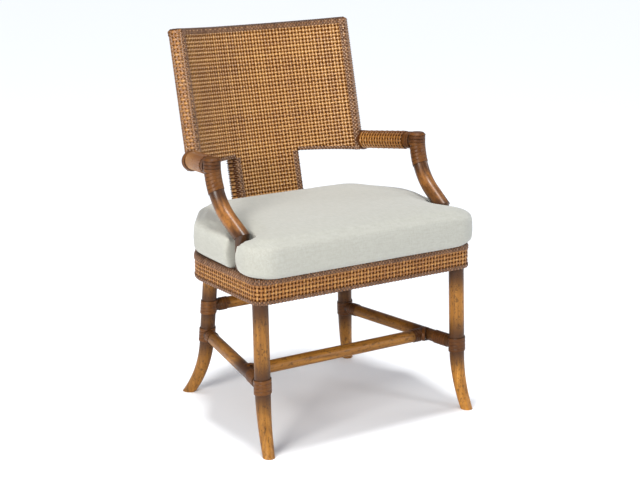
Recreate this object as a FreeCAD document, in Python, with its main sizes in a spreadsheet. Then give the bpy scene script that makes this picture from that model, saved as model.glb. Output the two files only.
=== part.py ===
import FreeCAD
import Part
import os
from math import acos, asin, atan2, cos, degrees, pi, radians, sin, tan
import Sketcher
from FreeCAD import Placement, Rotation, Vector

# Cane armchair on sabre legs, with a raked barrel back and a loose notched cushion.
# Millimetres, +Z up, the front of the chair towards -Y, +X to the right seen from the front.
# The origin lies on the floor under the middle of the chair's box.

# Driving dimensions
SIZES = {
    # legs
    "leg_diameter": 36.6,
    "foot_diameter": 27.0,
    "leg_knee_height": 142.0,
    "leg_trim_depth": 14.0,
    "front_leg_inset": 24.0,
    "front_leg_setback": 28.0,
    "front_leg_lean_angle": 1.8,
    "front_leg_bend_radius": 350.0,
    "front_leg_toe_out_angle": 11.0,
    "rear_leg_inset": 25.7,
    "rear_leg_setback": 411.0,
    "rear_leg_lean_angle": 5.0,
    "rear_leg_bend_radius": 284.0,
    "rear_leg_splay_angle": 39.4,
    # stretchers
    "stretcher_diameter": 30.0,
    "side_stretcher_height": 159.5,
    "cross_stretcher_setback": 104.0,
    "rear_stretcher_height": 231.5,
    # seat frame
    "seat_underside": 355.5,
    "seat_rail_height": 56.5,
    "seat_rail_width": 54.0,
    "seat_width": 612.0,
    "seat_front_narrowing": 26.0,
    "seat_front": -279.2,
    "seat_side_length": 277.0,
    "seat_depth": 478.0,
    "seat_taper_angle": 31.6,
    "seat_front_radius": 26.0,
    "seat_bend_radius": 95.0,
    "seat_rear_radius": 45.0,
    "seat_edge_radius": 8.0,
    "front_rail_width": 46.0,
    "rear_rail_reach": 42.0,
    "weave_thickness": 3.0,
    "deck_thickness": 12.0,
    "deck_drop": 4.0,
    "cleat_width": 22.0,
    "cleat_height": 18.0,
    # back
    "back_rake_angle": 13.7,
    "back_foot_inset": 24.3,
    "back_radius": 347.0,
    "back_thickness": 33.0,
    "back_narrowing": 130.0,
    "back_height": 491.5,
    "back_crown": 9.0,
    "back_edge_radius": 8.0,
    "wing_drop": 22.0,
    "splat_width": 190.0,
    "back_pole_diameter": 25.0,
    "lower_rail_diameter": 22.0,
    # arms
    "arm_pole_diameter": 36.6,
    "arm_weave_thickness": 2.6,
    "arm_weave_stop": 47.0,
    "arm_elbow_height": 609.0,
    "arm_front_height": 631.0,
    "arm_corner_reach": 24.3,
    "post_inset": 21.4,
    "post_foot_setback": 94.5,
    "post_foot_diameter": 33.0,
    "post_toe_in_angle": 4.2,
    "post_foot_height": 77.6,
    "post_bend_share": 0.931,
    "post_bend_angle": 60.0,
    "post_bend_rise": 9.0,
    # cushion
    "cushion_side_overhang": 3.5,
    "cushion_overhang": 24.0,
    "cushion_rear_gap": 58.0,
    "cushion_edge_height": 80.0,
    "cushion_crown": 13.0,
    "cushion_corner_radius": 62.0,
    "cushion_seat_gap": 0.4,
    "cushion_post_gap": 7.0,
    "cushion_notch_gap": 4.0,
    # bindings
    "band_height": 44.0,
    "band_thickness": 2.2,
    "band_edge_thickness": 1.3,
    "strip_width": 6.0,
    "strip_thickness": 1.5,
    "strip_spacing": 1.3,
    # fits and fasteners
    "cope_gap": 0.3,
    "strip_seat_gap": 0.25,
    "dowel_diameter": 10.0,
    "dowel_gap": 0.1,
    "dowel_bite": 24.0,
    "dowel_leg_bite": 13.0,
}

# Dimensions that follow from others
FOLLOWING = {
    "seat_front_width": "=seat_width - seat_front_narrowing",
    "back_width": "=seat_width - back_narrowing",
    "wing_underside": "=arm_elbow_height - wing_drop",
    "cushion_width": "=seat_width + 2 * cushion_side_overhang",
    "post_rise": "=arm_front_height + post_bend_rise - seat_underside - seat_rail_height - post_foot_height",
    "post_bend_radius": "=post_rise * post_bend_share",
    "post_slant_length":
        "=(post_rise - post_bend_radius * sin(post_bend_angle * 1 deg)) / cos(post_bend_angle * 1 deg)",
}

doc = FreeCAD.newDocument("cane_armchair")
sheet = doc.addObject("Spreadsheet::Sheet", "Sizes")
for row, (alias, number) in enumerate({**SIZES, **FOLLOWING}.items(), start=1):
    sheet.set(f"A{row}", alias.replace("_", " "))
    sheet.set(f"B{row}", str(number))
    sheet.setAlias(f"B{row}", alias)
doc.recompute()

SIDES = {"left": -1, "right": 1}
UP = Vector(0, 0, 1)
NODES = {}


def size(alias):
    return float(sheet.get(alias))


# Small helpers for document objects

def keep(label, obj):
    """Give a finished sub-part its own label and remember it for export."""
    obj.Label = label
    NODES[label] = obj
    return obj


def bind(obj, **expressions):
    for name, expression in expressions.items():
        obj.setExpression(name, expression)
    return obj


def solid(name, shape):
    """A shape worked out from the sheet, as a document object."""
    feature = doc.addObject("Part::Feature", name)
    feature.Shape = shape
    return feature


def cut(name, base, tools):
    """Base less its tools, as a boolean of the document."""
    result = base
    for number, tool in enumerate(tools):
        step = doc.addObject("Part::Cut", f"{name}_{number}")
        step.Base = result
        step.Tool = tool
        result = step
    return result


def turned_to(direction):
    return Rotation(UP, direction)


def rod(name, start, end, radius):
    """A straight round pole between two points, its radius bound to the sheet."""
    pole = doc.addObject("Part::Cylinder", name)
    bind(pole, Radius=radius)
    pole.Height = (end - start).Length
    pole.Placement = Placement(start, turned_to(end - start))
    return pole


def origin_plane(body, role):
    return [plane for plane in body.Origin.OriginFeatures if plane.Role == role][0]


def sketch_on(body, role, name):
    sketch = body.newObject("Sketcher::SketchObject", name)
    sketch.AttachmentSupport = [(origin_plane(body, role), "")]
    sketch.MapMode = "FlatFace"
    return sketch


def dimension(sketch, kind, places, number, name, expression):
    """A named driving constraint bound to the sheet."""
    index = sketch.addConstraint(Sketcher.Constraint(kind, *places, number))
    sketch.renameConstraint(index, name)
    sketch.setExpression(f"Constraints.{name}", expression)


# Places worked out from the driving dimensions

SEAT_TOP = size("seat_underside") + size("seat_rail_height")
SEAT_REAR = size("seat_front") + size("seat_depth")
SEAT_BEND = size("seat_front") + size("seat_side_length")
TAPER = tan(radians(size("seat_taper_angle")))


def taper_half_width(y):
    """Half the seat's width at y, on the tapered stretch behind the bend."""
    return size("seat_width") / 2 - (y - SEAT_BEND) * TAPER


def side_half_width(y):
    """Half the seat's width at y, on the stretch from the front corner to the bend."""
    share = (y - size("seat_front")) / size("seat_side_length")
    return (size("seat_front_width") * (1 - share) + size("seat_width") * share) / 2


class Leg:
    """One sabre leg: a straight leaning pole with a forward or backward kick below its knee."""

    def __init__(self, end, side):
        sign = SIDES[side]
        self.name = f"{end}_leg_{side}"
        self.end = end
        self.lean = size(f"{end}_leg_lean_angle")
        y = size("seat_front") + size(f"{end}_leg_setback")
        if end == "front":
            x = side_half_width(y) - size("front_leg_inset")
            turn = radians(size("front_leg_toe_out_angle"))
            self.outward = Vector(sign * sin(turn), -cos(turn), 0)
        else:
            x = taper_half_width(y) - size("rear_leg_inset") / cos(radians(size("seat_taper_angle")))
            turn = radians(size("rear_leg_splay_angle"))
            self.outward = Vector(sign * sin(turn), cos(turn), 0)
        self.top = Vector(sign * x, y, size("seat_underside"))

    def axis_at(self, height):
        """The point of the straight stretch's axis at a height."""
        return self.top + self.outward * ((self.top.z - height) * tan(radians(self.lean))) \
            + UP * (height - self.top.z)


LEGS = {(end, side): Leg(end, side) for end in ("front", "rear") for side in SIDES}


def leg_section(body, path, name, along, diameter):
    """A round section square to the leg's bend, at its start or its end."""
    section = body.newObject("Sketcher::SketchObject", name)
    section.AttachmentSupport = [(path, "Edge2")]
    section.MapMode = "NormalToEdge"
    section.MapPathParameter = along
    section.AttachmentOffset = Placement(Vector(0, 0, 0), Rotation(UP, 90))
    section.addGeometry(Part.Circle(Vector(0, 0, 0), UP, size(diameter) / 2))
    section.addConstraint(Sketcher.Constraint("Coincident", 0, 3, -1, 1))
    dimension(section, "Radius", (0,), size(diameter) / 2, "radius", f"Sizes.{diameter} / 2")
    return section


def build_leg(leg):
    """A straight pole and a tapering bend below it, swept in turn, then cut level at both ends."""
    body = doc.addObject("PartDesign::Body", leg.name + "_pole")
    lean, knee = radians(leg.lean), size("leg_knee_height")
    bend, trim = size(f"{leg.end}_leg_bend_radius"), size("leg_trim_depth")
    top = size("seat_underside")
    knee_out = (top - knee) * tan(lean)
    path = sketch_on(body, "XZ_Plane", leg.name + "_path")
    head, head_in = top + trim, trim * tan(lean)
    path.addGeometry(Part.LineSegment(Vector(-head_in, head, 0), Vector(knee_out, knee, 0)))
    centre = Vector(knee_out + bend * cos(lean), knee + bend * sin(lean), 0)
    foot_angle = pi + asin((centre.y + trim) / bend)
    circle = Part.Circle(centre, UP, bend)
    path.addGeometry(Part.ArcOfCircle(circle, pi + lean, foot_angle))
    path.addConstraint(Sketcher.Constraint("Tangent", 0, 2, 1, 1))
    lean_sheet = f"Sizes.{leg.end}_leg_lean_angle"
    knee_sheet = f"(Sizes.seat_underside - Sizes.leg_knee_height) * tan({lean_sheet} * 1 deg)"
    dimension(path, "DistanceY", (-1, 1, 0, 1), head, "head", "Sizes.seat_underside + Sizes.leg_trim_depth")
    dimension(path, "DistanceX", (0, 1, -1, 1), head_in, "head_in",
              f"Sizes.leg_trim_depth * tan({lean_sheet} * 1 deg)")
    dimension(path, "DistanceY", (-1, 1, 0, 2), knee, "knee", "Sizes.leg_knee_height")
    dimension(path, "DistanceX", (-1, 1, 0, 2), knee_out, "knee_out", knee_sheet)
    dimension(path, "Radius", (1,), bend, "bend", f"Sizes.{leg.end}_leg_bend_radius")
    dimension(path, "DistanceY", (1, 2, -1, 1), trim, "trim", "Sizes.leg_trim_depth")
    doc.recompute()
    knee_section = leg_section(body, path, leg.name + "_knee_section", 0.0, "leg_diameter")
    pole = body.newObject("PartDesign::AdditivePipe", leg.name + "_straight")
    pole.Profile = knee_section
    pole.Spine = (path, ["Edge1"])
    bend_section = leg_section(body, path, leg.name + "_bend_section", 0.0, "leg_diameter")
    foot_section = leg_section(body, path, leg.name + "_foot_section", 1.0, "foot_diameter")
    kick = body.newObject("PartDesign::AdditivePipe", leg.name + "_bend")
    kick.Profile = bend_section
    kick.Spine = (path, ["Edge2"])
    kick.Transformation = "Multisection"
    kick.Sections = [foot_section]
    reach = bend + top
    for name, level, upwards in (("floor", "0", False), ("seat", "Sizes.seat_underside", True)):
        plane = sketch_on(body, "XY_Plane", f"{leg.name}_{name}")
        plane.setExpression("AttachmentOffset.Base.z", level)
        plane.addGeometry(Part.Circle(Vector(0, 0, 0), UP, reach))
        trimmed = body.newObject("PartDesign::Pocket", f"{leg.name}_{name}_trim")
        trimmed.Profile = plane
        trimmed.Type = "ThroughAll"
        trimmed.Reversed = upwards
    turn = degrees(Vector(1, 0, 0).getAngle(leg.outward))
    if leg.outward.y < 0:
        turn = -turn
    body.Placement = Placement(Vector(leg.top.x, leg.top.y, 0), Rotation(UP, turn))
    doc.recompute()
    return body


# Stretchers run between leg axes and are coped to the poles that they meet.

STRETCHER_RADIUS = "Sizes.stretcher_diameter / 2"


def side_stretcher_ends(side):
    height = size("side_stretcher_height")
    return LEGS["front", side].axis_at(height), LEGS["rear", side].axis_at(height)


def cross_stretcher_end(side):
    front, rear = side_stretcher_ends(side)
    along = (rear - front).normalize()
    return front + along * size("cross_stretcher_setback")


def leg_sleeve(leg, name):
    """The straight stretch of a leg with room round it, for coping what meets it."""
    low = leg.axis_at(size("leg_knee_height") - size("leg_diameter"))
    return rod(name, low, leg.top, "Sizes.leg_diameter / 2 + Sizes.cope_gap")


def dowel_pair(name, joint, into, surface, bite):
    """A dowel across a joint, and the bore that takes it."""
    start = joint + into * (surface - size("dowel_leg_bite"))
    end = joint + into * (surface + size(bite))
    pin = rod(name + "_dowel", start, end, "Sizes.dowel_diameter / 2")
    gap = into * size("dowel_gap")
    bore = rod(name + "_bore", start - gap, end + gap, "Sizes.dowel_diameter / 2 + Sizes.dowel_gap")
    return pin, bore


def group(label, pieces):
    """Several like solids in one node."""
    compound = doc.addObject("Part::Compound", label + "_set")
    compound.Links = pieces
    return keep(label, compound)


# Seat outline: six corners, each rounded, moved inwards as a whole for each layer.

def moved_inwards(corners, inset):
    """Corners of a closed outline that runs anticlockwise, all edges moved inwards by inset."""
    moved = []
    for index, corner in enumerate(corners):
        before = (corner - corners[index - 1]).normalize()
        after = (corners[(index + 1) % len(corners)] - corner).normalize()
        half_turn = before.getAngle(after) / 2
        inwards = (UP.cross(before) + UP.cross(after)).normalize()
        moved.append(corner + inwards * (inset / cos(half_turn)))
    return moved


def mirrored(right):
    """Right-hand corners from front to rear, followed by their mirror images."""
    return right + [Vector(-corner.x, corner.y, 0) for corner in reversed(right)]


def seat_corners(inset):
    """Corners of the seat's outline, all edges moved inwards by inset."""
    right = [
        Vector(size("seat_front_width") / 2, size("seat_front"), 0),
        Vector(size("seat_width") / 2, SEAT_BEND, 0),
        Vector(taper_half_width(SEAT_REAR), SEAT_REAR, 0),
    ]
    return moved_inwards(mirrored(right), inset)


def seat_radii(inset):
    names = ["seat_front_radius", "seat_bend_radius", "seat_rear_radius"]
    least = size("weave_thickness")
    right = [max(size(name) - inset, least) for name in names]
    return right + right[::-1]


def rounded_outline(corners, radii, height):
    """A closed wire of lines and arcs through corners with a radius at each."""
    count = len(corners)
    arcs = []
    for index, corner in enumerate(corners):
        back = (corners[index - 1] - corner).normalize()
        ahead = (corners[(index + 1) % count] - corner).normalize()
        half_turn = back.getAngle(ahead) / 2
        reach = radii[index] / tan(half_turn)
        middle = (back + ahead).normalize()
        depth = radii[index] / sin(half_turn) - radii[index]
        arcs.append((corner + back * reach, corner + middle * depth, corner + ahead * reach))
    edges = []
    lift = UP * height
    for index, (start, middle, end) in enumerate(arcs):
        edges.append(Part.Arc(start + lift, middle + lift, end + lift).toShape())
        following = arcs[(index + 1) % count][0]
        edges.append(Part.LineSegment(end + lift, following + lift).toShape())
    return Part.Wire(edges)


def seat_slab(inset, bottom, top):
    wire = rounded_outline(seat_corners(inset), seat_radii(inset), bottom)
    return Part.Face(wire).extrude(UP * (top - bottom))


def seat_ring(outer, inner, bottom, top):
    return seat_slab(outer, bottom, top).cut(seat_slab(inner, bottom, top))


def zone(x, y, run, depth):
    """A tall box over a rectangle of the seat's plan."""
    return Part.makeBox(run, depth, 2 * SEAT_TOP, Vector(x, y, -SEAT_TOP / 2))


def seat_zones():
    """Boxes that part the seat frame into front, rear and side rails."""
    wide = size("seat_width")
    front = size("seat_front")
    butt = front + size("front_rail_width")
    rear = SEAT_REAR - size("rear_rail_reach")
    return {
        "seat_front_rail": zone(-wide, front - wide, 2 * wide, butt - front + wide),
        "seat_rear_rail": zone(-wide, rear, 2 * wide, wide),
        "seat_side_rail_left": zone(-wide, butt, wide, rear - butt),
        "seat_side_rail_right": zone(0, butt, wide, rear - butt),
    }


def cleat_zones():
    """Boxes that part the ring of cleats into straight strips."""
    wide = size("seat_width")
    inset = size("seat_rail_width") + size("cleat_width")
    front, rear = size("seat_front") + inset, SEAT_REAR - inset
    zones = [zone(-wide, front - wide, 2 * wide, wide), zone(-wide, rear, 2 * wide, wide)]
    for x in (-wide, 0):
        zones += [zone(x, front, wide, SEAT_BEND - front), zone(x, SEAT_BEND, wide, rear - SEAT_BEND)]
    return zones


def rim_edges(shape, height):
    """Edges of a slab's face at a height."""
    return [edge for edge in shape.Edges
            if abs(edge.BoundBox.ZMin - height) < 1e-6 and abs(edge.BoundBox.ZMax - height) < 1e-6]


def build_seat():
    """Four rails, the cane wrapped round them, the deck and the cleats under it."""
    low, wrap, wide = size("seat_underside"), size("weave_thickness"), size("seat_rail_width")
    slab = seat_slab(0, low, SEAT_TOP)
    slab = slab.makeFillet(size("seat_edge_radius"), rim_edges(slab, low) + rim_edges(slab, SEAT_TOP))
    hollow = seat_slab(wide, low - wrap, SEAT_TOP + wrap)
    core = seat_slab(wrap, low + wrap, SEAT_TOP - wrap)
    edge = size("seat_edge_radius") - wrap
    core = core.makeFillet(edge, rim_edges(core, low + wrap) + rim_edges(core, SEAT_TOP - wrap))
    frame = core.cut(hollow)
    weave = slab.cut(hollow).cut(frame)
    pieces = {name: frame.common(part) for name, part in seat_zones().items()}
    deck_top = SEAT_TOP - size("deck_drop")
    deck_low = deck_top - size("deck_thickness")
    cleat_low = deck_low - size("cleat_height")
    cleats = seat_ring(wide, wide + size("cleat_width"), cleat_low, deck_low)
    deck = seat_slab(wide + size("cope_gap"), deck_low, deck_top)
    strips = [cleats.common(part) for part in cleat_zones()]
    return pieces, weave, deck, Part.makeCompound([s for piece in strips for s in piece.Solids])


# The back stands in a frame of its own: its foot on the seat's rear rail, leaning back by the rake.

RAKE = radians(size("back_rake_angle"))
BACK_FOOT = Vector(0, SEAT_REAR - size("back_foot_inset"), SEAT_TOP)
BACK_FRAME = Placement(BACK_FOOT, Rotation(Vector(1, 0, 0), -size("back_rake_angle")))
BACK_HALF_ANGLE = asin(size("back_width") / 2 / size("back_radius"))
BACK_SAG = size("back_radius") * (1 - cos(BACK_HALF_ANGLE))
TOP_TILT = atan2(size("back_crown"), BACK_SAG)


def on_back(angle, height, radius):
    """A point of the raked barrel: angle round it, height up its slope."""
    local = Vector(radius * sin(angle), radius * cos(angle) - size("back_radius"), height)
    return BACK_FRAME.multVec(local)


def slope_height(angle, level):
    """How far up the slope the barrel's middle reaches a level height."""
    forward = size("back_radius") * (cos(angle) - 1)
    return (level - SEAT_TOP + forward * sin(RAKE)) / cos(RAKE)


def barrel_band(inset):
    """The back's full-height curved slab, every face moved inwards by inset."""
    inner = size("back_radius") - size("back_thickness") / 2 + inset
    outer = size("back_radius") + size("back_thickness") / 2 - inset
    half = BACK_HALF_ANGLE - inset / size("back_radius")
    centre = Vector(0, -size("back_radius"), -size("back_thickness"))

    def at(radius, angle):
        return centre + Vector(radius * sin(angle), radius * cos(angle), 0)

    wire = Part.Wire([
        Part.Arc(at(inner, -half), at(inner, 0), at(inner, half)).toShape(),
        Part.LineSegment(at(inner, half), at(outer, half)).toShape(),
        Part.Arc(at(outer, half), at(outer, 0), at(outer, -half)).toShape(),
        Part.LineSegment(at(outer, -half), at(inner, -half)).toShape(),
    ])
    band = Part.Face(wire).extrude(UP * (size("back_height") + 3 * size("back_thickness")))
    reach = size("seat_width")
    above = Part.makeBox(2 * reach, 2 * reach, reach, Vector(-reach, -reach, -inset))
    above.Placement = Placement(Vector(0, -BACK_SAG, size("back_height")),
                                Rotation(Vector(1, 0, 0), degrees(TOP_TILT)))
    band = band.cut(above)
    band.Placement = BACK_FRAME
    return band


def tee_slab(inset):
    """The back's outline: two wings on a splat, cut level under the wings and on the seat rail."""
    slab = barrel_band(inset)
    level = size("wing_underside") + inset
    half = size("splat_width") / 2 - inset
    reach = size("seat_width")
    for x in (half, -half - reach):
        slab = slab.cut(Part.makeBox(reach, 2 * reach, level, Vector(x, -reach, 0)))
    return slab.cut(Part.makeBox(2 * reach, 2 * reach, SEAT_TOP, Vector(-reach, -reach, 0)))


def outline_edges(tee):
    """Edges where the tee's broad curved faces meet its narrow edge faces."""
    broad = [face for face in tee.Faces if face.Surface.TypeId == "Part::GeomCylinder"]
    picked = []
    for face in broad:
        for edge in face.Edges:
            if edge.BoundBox.ZMax > SEAT_TOP + size("weave_thickness"):
                picked.append(edge)
    return picked


def build_back():
    """The woven cover, and where the poles inside it run."""
    wrap, pole = size("weave_thickness"), size("back_pole_diameter")
    tee = tee_slab(0)
    cover = tee.makeFillet(size("back_edge_radius"), outline_edges(tee)).cut(tee_slab(wrap))
    radius = size("back_radius")
    depth = (wrap + pole / 2 + size("cope_gap")) / cos(TOP_TILT)
    rail_rise = size("back_height") + size("back_crown") - depth
    side_angle = BACK_HALF_ANGLE - (wrap + pole / 2 + size("cope_gap")) / radius
    splat_angle = asin((size("splat_width") / 2 - wrap - pole / 2 - size("cope_gap")) / radius)
    return cover, rail_rise, side_angle, splat_angle


def bow(label, frame, radius, thickness, half_angle):
    """A pole bent to an arc in the plane of a frame, its bow centred on +Y."""
    ring = doc.addObject("Part::Torus", label)
    bind(ring, Radius2=thickness)
    ring.Radius1 = radius
    ring.Angle3 = 2 * degrees(half_angle)
    ring.Placement = frame.multiply(Placement(Vector(), Rotation(UP, 90 - degrees(half_angle))))
    return ring


# Arms

ARM_POLE = "Sizes.arm_pole_diameter / 2"
POST_FOOT_Y = size("seat_front") + size("post_foot_setback")
POST_FOOT_X = side_half_width(POST_FOOT_Y) - size("post_inset")
POST_BEND_TOP = size("arm_front_height") + size("post_bend_rise")
POST_ANGLE = radians(size("post_bend_angle"))
POST_RUN = size("post_slant_length") * sin(POST_ANGLE) \
    + size("post_bend_radius") * (1 - cos(POST_ANGLE))
POST_TOE = radians(size("post_toe_in_angle"))
MITRE_Z = SEAT_TOP + size("post_foot_height")


def post_frame(side):
    """Frame of an arm post: its top over the origin, its foot towards -Y and slightly inwards."""
    sign = SIDES[side]
    top = Vector(sign * (POST_FOOT_X + POST_RUN * sin(POST_TOE)), POST_FOOT_Y + POST_RUN * cos(POST_TOE), 0)
    return Placement(top, Rotation(UP, -sign * size("post_toe_in_angle")))


def arm_line(side):
    """Axis of an arm rail: from the panel's lower corner to the top of the arm post."""
    rise = slope_height(BACK_HALF_ANGLE, size("arm_elbow_height"))
    elbow = on_back(BACK_HALF_ANGLE * SIDES[side], rise, size("back_radius"))
    fall = asin(size("post_bend_rise") / size("post_bend_radius"))
    forward = size("post_bend_radius") * (1 - cos(fall))
    return elbow, post_frame(side).multVec(Vector(0, -forward, size("arm_front_height")))


def half_space(point, normal, name):
    """A large box on the far side of a plane, for mitre cuts."""
    reach = size("seat_width")
    box = doc.addObject("Part::Box", name)
    bind(box, Length="Sizes.seat_width", Width="Sizes.seat_width", Height="Sizes.seat_width")
    turn = turned_to(normal)
    box.Placement = Placement(point + turn.multVec(Vector(-reach / 2, -reach / 2, 0)), turn)
    return box


def post_path_sketch(body, name):
    """Vertical run, arc sweeping forward and slanting run, in the plane of the post."""
    bend, angle, slant = size("post_bend_radius"), POST_ANGLE, size("post_slant_length")
    over = size("arm_pole_diameter")
    path = sketch_on(body, "YZ_Plane", name)
    centre = Vector(-bend, POST_BEND_TOP, 0)
    low = centre + Vector(bend * cos(angle), -bend * sin(angle), 0)
    ahead = Vector(-sin(angle), -cos(angle), 0)
    path.addGeometry(Part.LineSegment(Vector(0, POST_BEND_TOP + over, 0), Vector(0, POST_BEND_TOP, 0)))
    path.addGeometry(Part.ArcOfCircle(Part.Circle(centre, UP, bend), -angle, 0))
    path.addGeometry(Part.LineSegment(low, low + ahead * (slant + over)))
    joints = (("Tangent", 0, 2, 1, 2), ("Tangent", 1, 1, 2, 1), ("Vertical", 0), ("PointOnObject", 0, 2, -2))
    for joint in joints:
        path.addConstraint(Sketcher.Constraint(*joint))
    dimension(path, "Radius", (1,), bend, "bend", "Sizes.post_bend_radius")
    dimension(path, "Distance", (2,), slant + over, "slant",
              "Sizes.post_slant_length + Sizes.arm_pole_diameter")
    dimension(path, "Distance", (0,), over, "top_run", "Sizes.arm_pole_diameter")
    dimension(path, "DistanceY", (-1, 1, 0, 2), POST_BEND_TOP, "bend_top",
              "Sizes.arm_front_height + Sizes.post_bend_rise")
    dimension(path, "Angle", (1,), angle, "sweep", "Sizes.post_bend_angle * 1 deg")
    return path


def build_post(label, side, room):
    """Arm post: a round section swept down the post's path, with room added round it."""
    body = doc.addObject("PartDesign::Body", label)
    path = post_path_sketch(body, label + "_path")
    section = sketch_on(body, "XY_Plane", label + "_section")
    bind(section, **{"AttachmentOffset.Base.z":
                     "Sizes.arm_front_height + Sizes.post_bend_rise + Sizes.arm_pole_diameter"})
    radius = size("arm_pole_diameter") / 2 + (size(room) if room else 0)
    section.addGeometry(Part.Circle(Vector(0, 0, 0), UP, radius))
    section.addConstraint(Sketcher.Constraint("Coincident", 0, 3, -1, 1))
    expression = ARM_POLE + f" + Sizes.{room}" if room else ARM_POLE
    dimension(section, "Radius", (0,), radius, "radius", expression)
    pipe = body.newObject("PartDesign::AdditivePipe", label + "_sweep")
    pipe.Profile = section
    pipe.Spine = (path, ["Edge1", "Edge2", "Edge3"])
    body.Placement = post_frame(side)
    doc.recompute()
    return body


# Windings: one flat strip each, helical, on arcs that meet at a tangent.

def biarc(start, start_way, end, end_way):
    """Two arcs from start to end that keep both directions and meet at a tangent."""
    chord = end - start
    square = 2 * (1 - start_way.dot(end_way))
    linear = 2 * chord.dot(start_way + end_way)
    reach = (-linear + (linear ** 2 + 4 * square * chord.dot(chord)) ** 0.5) / (2 * square)
    first = start + start_way * reach
    second = end - end_way * reach
    meeting = (first + second) / 2
    edges = []
    for begin, apex, finish in ((start, first, meeting), (meeting, second, end)):
        middle = (begin + finish) / 2
        half_turn = acos((finish - begin).Length / 2 / reach)
        share = tan(half_turn / 2) / tan(half_turn)
        edges.append(Part.Arc(begin, middle + (apex - middle) * share, finish).toShape())
    return edges


def wound_strip(label, place, turns, steer):
    """A strip wound along place(share, turn angle), which gives points of its middle line.

    steer tells the sweep how the strip keeps its broad side on the pole."""
    step = 1e-4

    def point(share):
        return place(share, 2 * pi * turns * share)

    def way(share):
        return (point(share + step) - point(share - step)).normalize()

    halves = int(2 * turns)
    edges = []
    for half in range(halves):
        start, end = half / halves, (half + 1) / halves
        edges += biarc(point(start), way(start), point(end), way(end))
    ahead = way(0)
    outward = (point(0) - place(0, pi)).normalize()
    across = ahead.cross(outward).normalize()
    outward = across.cross(ahead)
    wide, thick = across * (size("strip_width") / 2), outward * (size("strip_thickness") / 2)
    corners = [point(0) + wide + thick, point(0) - wide + thick,
               point(0) - wide - thick, point(0) + wide - thick]
    section = Part.makePolygon(corners + corners[:1])
    sweep = Part.BRepOffsetAPI.MakePipeShell(Part.Wire(edges))
    steer(sweep)
    sweep.add(section)
    sweep.build()
    sweep.makeSolid()
    samples = 24
    least = min((point((n + samples) / (samples * turns)) - point(n / (samples * turns))).Length
                for n in range(int(samples * (turns - 1))))
    print(f"{label}: {turns} turns, least gap to itself {least - size('strip_width'):.2f} mm")
    return solid(label + "_strip", sweep.shape())


STRIP_PITCH = size("strip_width") + size("strip_spacing")
RAIL_TURNS = 2
POST_TURNS = 4
JOINT_TURNS = 3
FRONT_TURNS = 6


def wind_straight(label, start, direction, pole_radius, turns):
    """A strip wound on a straight pole from start along direction."""
    radius = pole_radius + size("strip_seat_gap") + size("strip_thickness") / 2
    way = Vector(direction).normalize()
    first = way.cross(UP).normalize()
    second = way.cross(first)
    run = STRIP_PITCH * turns

    def place(share, angle):
        return start + way * (run * share) + first * (radius * cos(angle)) + second * (radius * sin(angle))

    return wound_strip(label, place, turns, lambda sweep: sweep.setBiNormalMode(way))


def wind_post(label, side, turns):
    """A strip wound on the curved stretch of an arm post, from just under the arm rail."""
    bend = size("post_bend_radius")
    pole = size("arm_pole_diameter") / 2
    radius = pole + size("strip_seat_gap") + size("strip_thickness") / 2
    pitch = STRIP_PITCH * bend / (bend - radius)
    sweep_angle = pitch * turns / bend
    start_angle = asin((size("post_bend_rise") + pole + 2 * size("strip_width")) / bend)
    frame = post_frame(side)

    def axis_point(along, out, aside):
        return frame.multVec(Vector(aside, out * cos(along) - bend, POST_BEND_TOP - out * sin(along)))

    def place(share, angle):
        return axis_point(start_angle + sweep_angle * share, bend + radius * cos(angle), radius * sin(angle))

    spine = Part.Arc(*(axis_point(start_angle + sweep_angle * share, bend, 0) for share in (0, 0.5, 1)))
    spine_wire = Part.Wire([spine.toShape()])
    return wound_strip(label, place, turns, lambda sweep: sweep.setAuxiliarySpine(spine_wire, True, 0))


BAND_RIDGES = 4


def joint_band(name, leg, height, tools):
    """Leather band round a leg at a joint: soft ridges of its strips, holed for the stretcher."""
    inner = size("leg_diameter") / 2 + size("strip_seat_gap")
    tall = size("band_height")
    ridge = tall / BAND_RIDGES
    outer = inner + size("band_edge_thickness")
    crest = inner + size("band_thickness")
    edges = [Part.LineSegment(Vector(inner, 0, 0), Vector(outer, 0, 0)).toShape()]
    bevel = ridge / 3
    for index in range(BAND_RIDGES):
        low = index * ridge
        rise = [Vector(outer, 0, low), Vector(crest, 0, low + bevel),
                Vector(crest, 0, low + ridge - bevel), Vector(outer, 0, low + ridge)]
        edges += [Part.LineSegment(*pair).toShape() for pair in zip(rise, rise[1:])]
    edges.append(Part.LineSegment(Vector(outer, 0, tall), Vector(inner, 0, tall)).toShape())
    edges.append(Part.LineSegment(Vector(inner, 0, tall), Vector(inner, 0, 0)).toShape())
    band = solid(name + "_ring", Part.Face(Part.Wire(edges)).revolve(Vector(), UP, 360))
    low = leg.axis_at(height - tall / 2)
    band.Placement = Placement(low, turned_to(leg.axis_at(height + tall / 2) - low))
    return cut(name + "_holed", band, tools)


# Cushion: shares of its plan, each at a share of the height of its sides or of its crown

CUSHION_SIDES = [(0.945, 0.0), (0.985, 0.17), (1.0, 0.48), (0.985, 0.79), (0.935, 1.0)]
CUSHION_CROWN = [(0.935, 0.0), (0.74, 0.72), (0.5, 1.0)]


def cushion_outline(share, height):
    """The cushion's rounded plan, drawn in towards its middle by a share, at a height."""
    half = size("cushion_width") / 2
    front = size("seat_front") - size("cushion_overhang")
    rear = SEAT_REAR - size("cushion_rear_gap")
    rear_half = half - (rear - SEAT_BEND) * TAPER
    middle = Vector(0, (front + rear) / 2, 0)
    corners = mirrored([Vector(half, front, 0), Vector(half, SEAT_BEND, 0), Vector(rear_half, rear, 0)])
    corners = [middle + (corner - middle) * share for corner in corners]
    corner_radius = size("cushion_corner_radius") * share
    bend_radius = size("seat_bend_radius") * share
    radii = [corner_radius, bend_radius, corner_radius, corner_radius, bend_radius, corner_radius]
    return rounded_outline(corners, radii, height)


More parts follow.
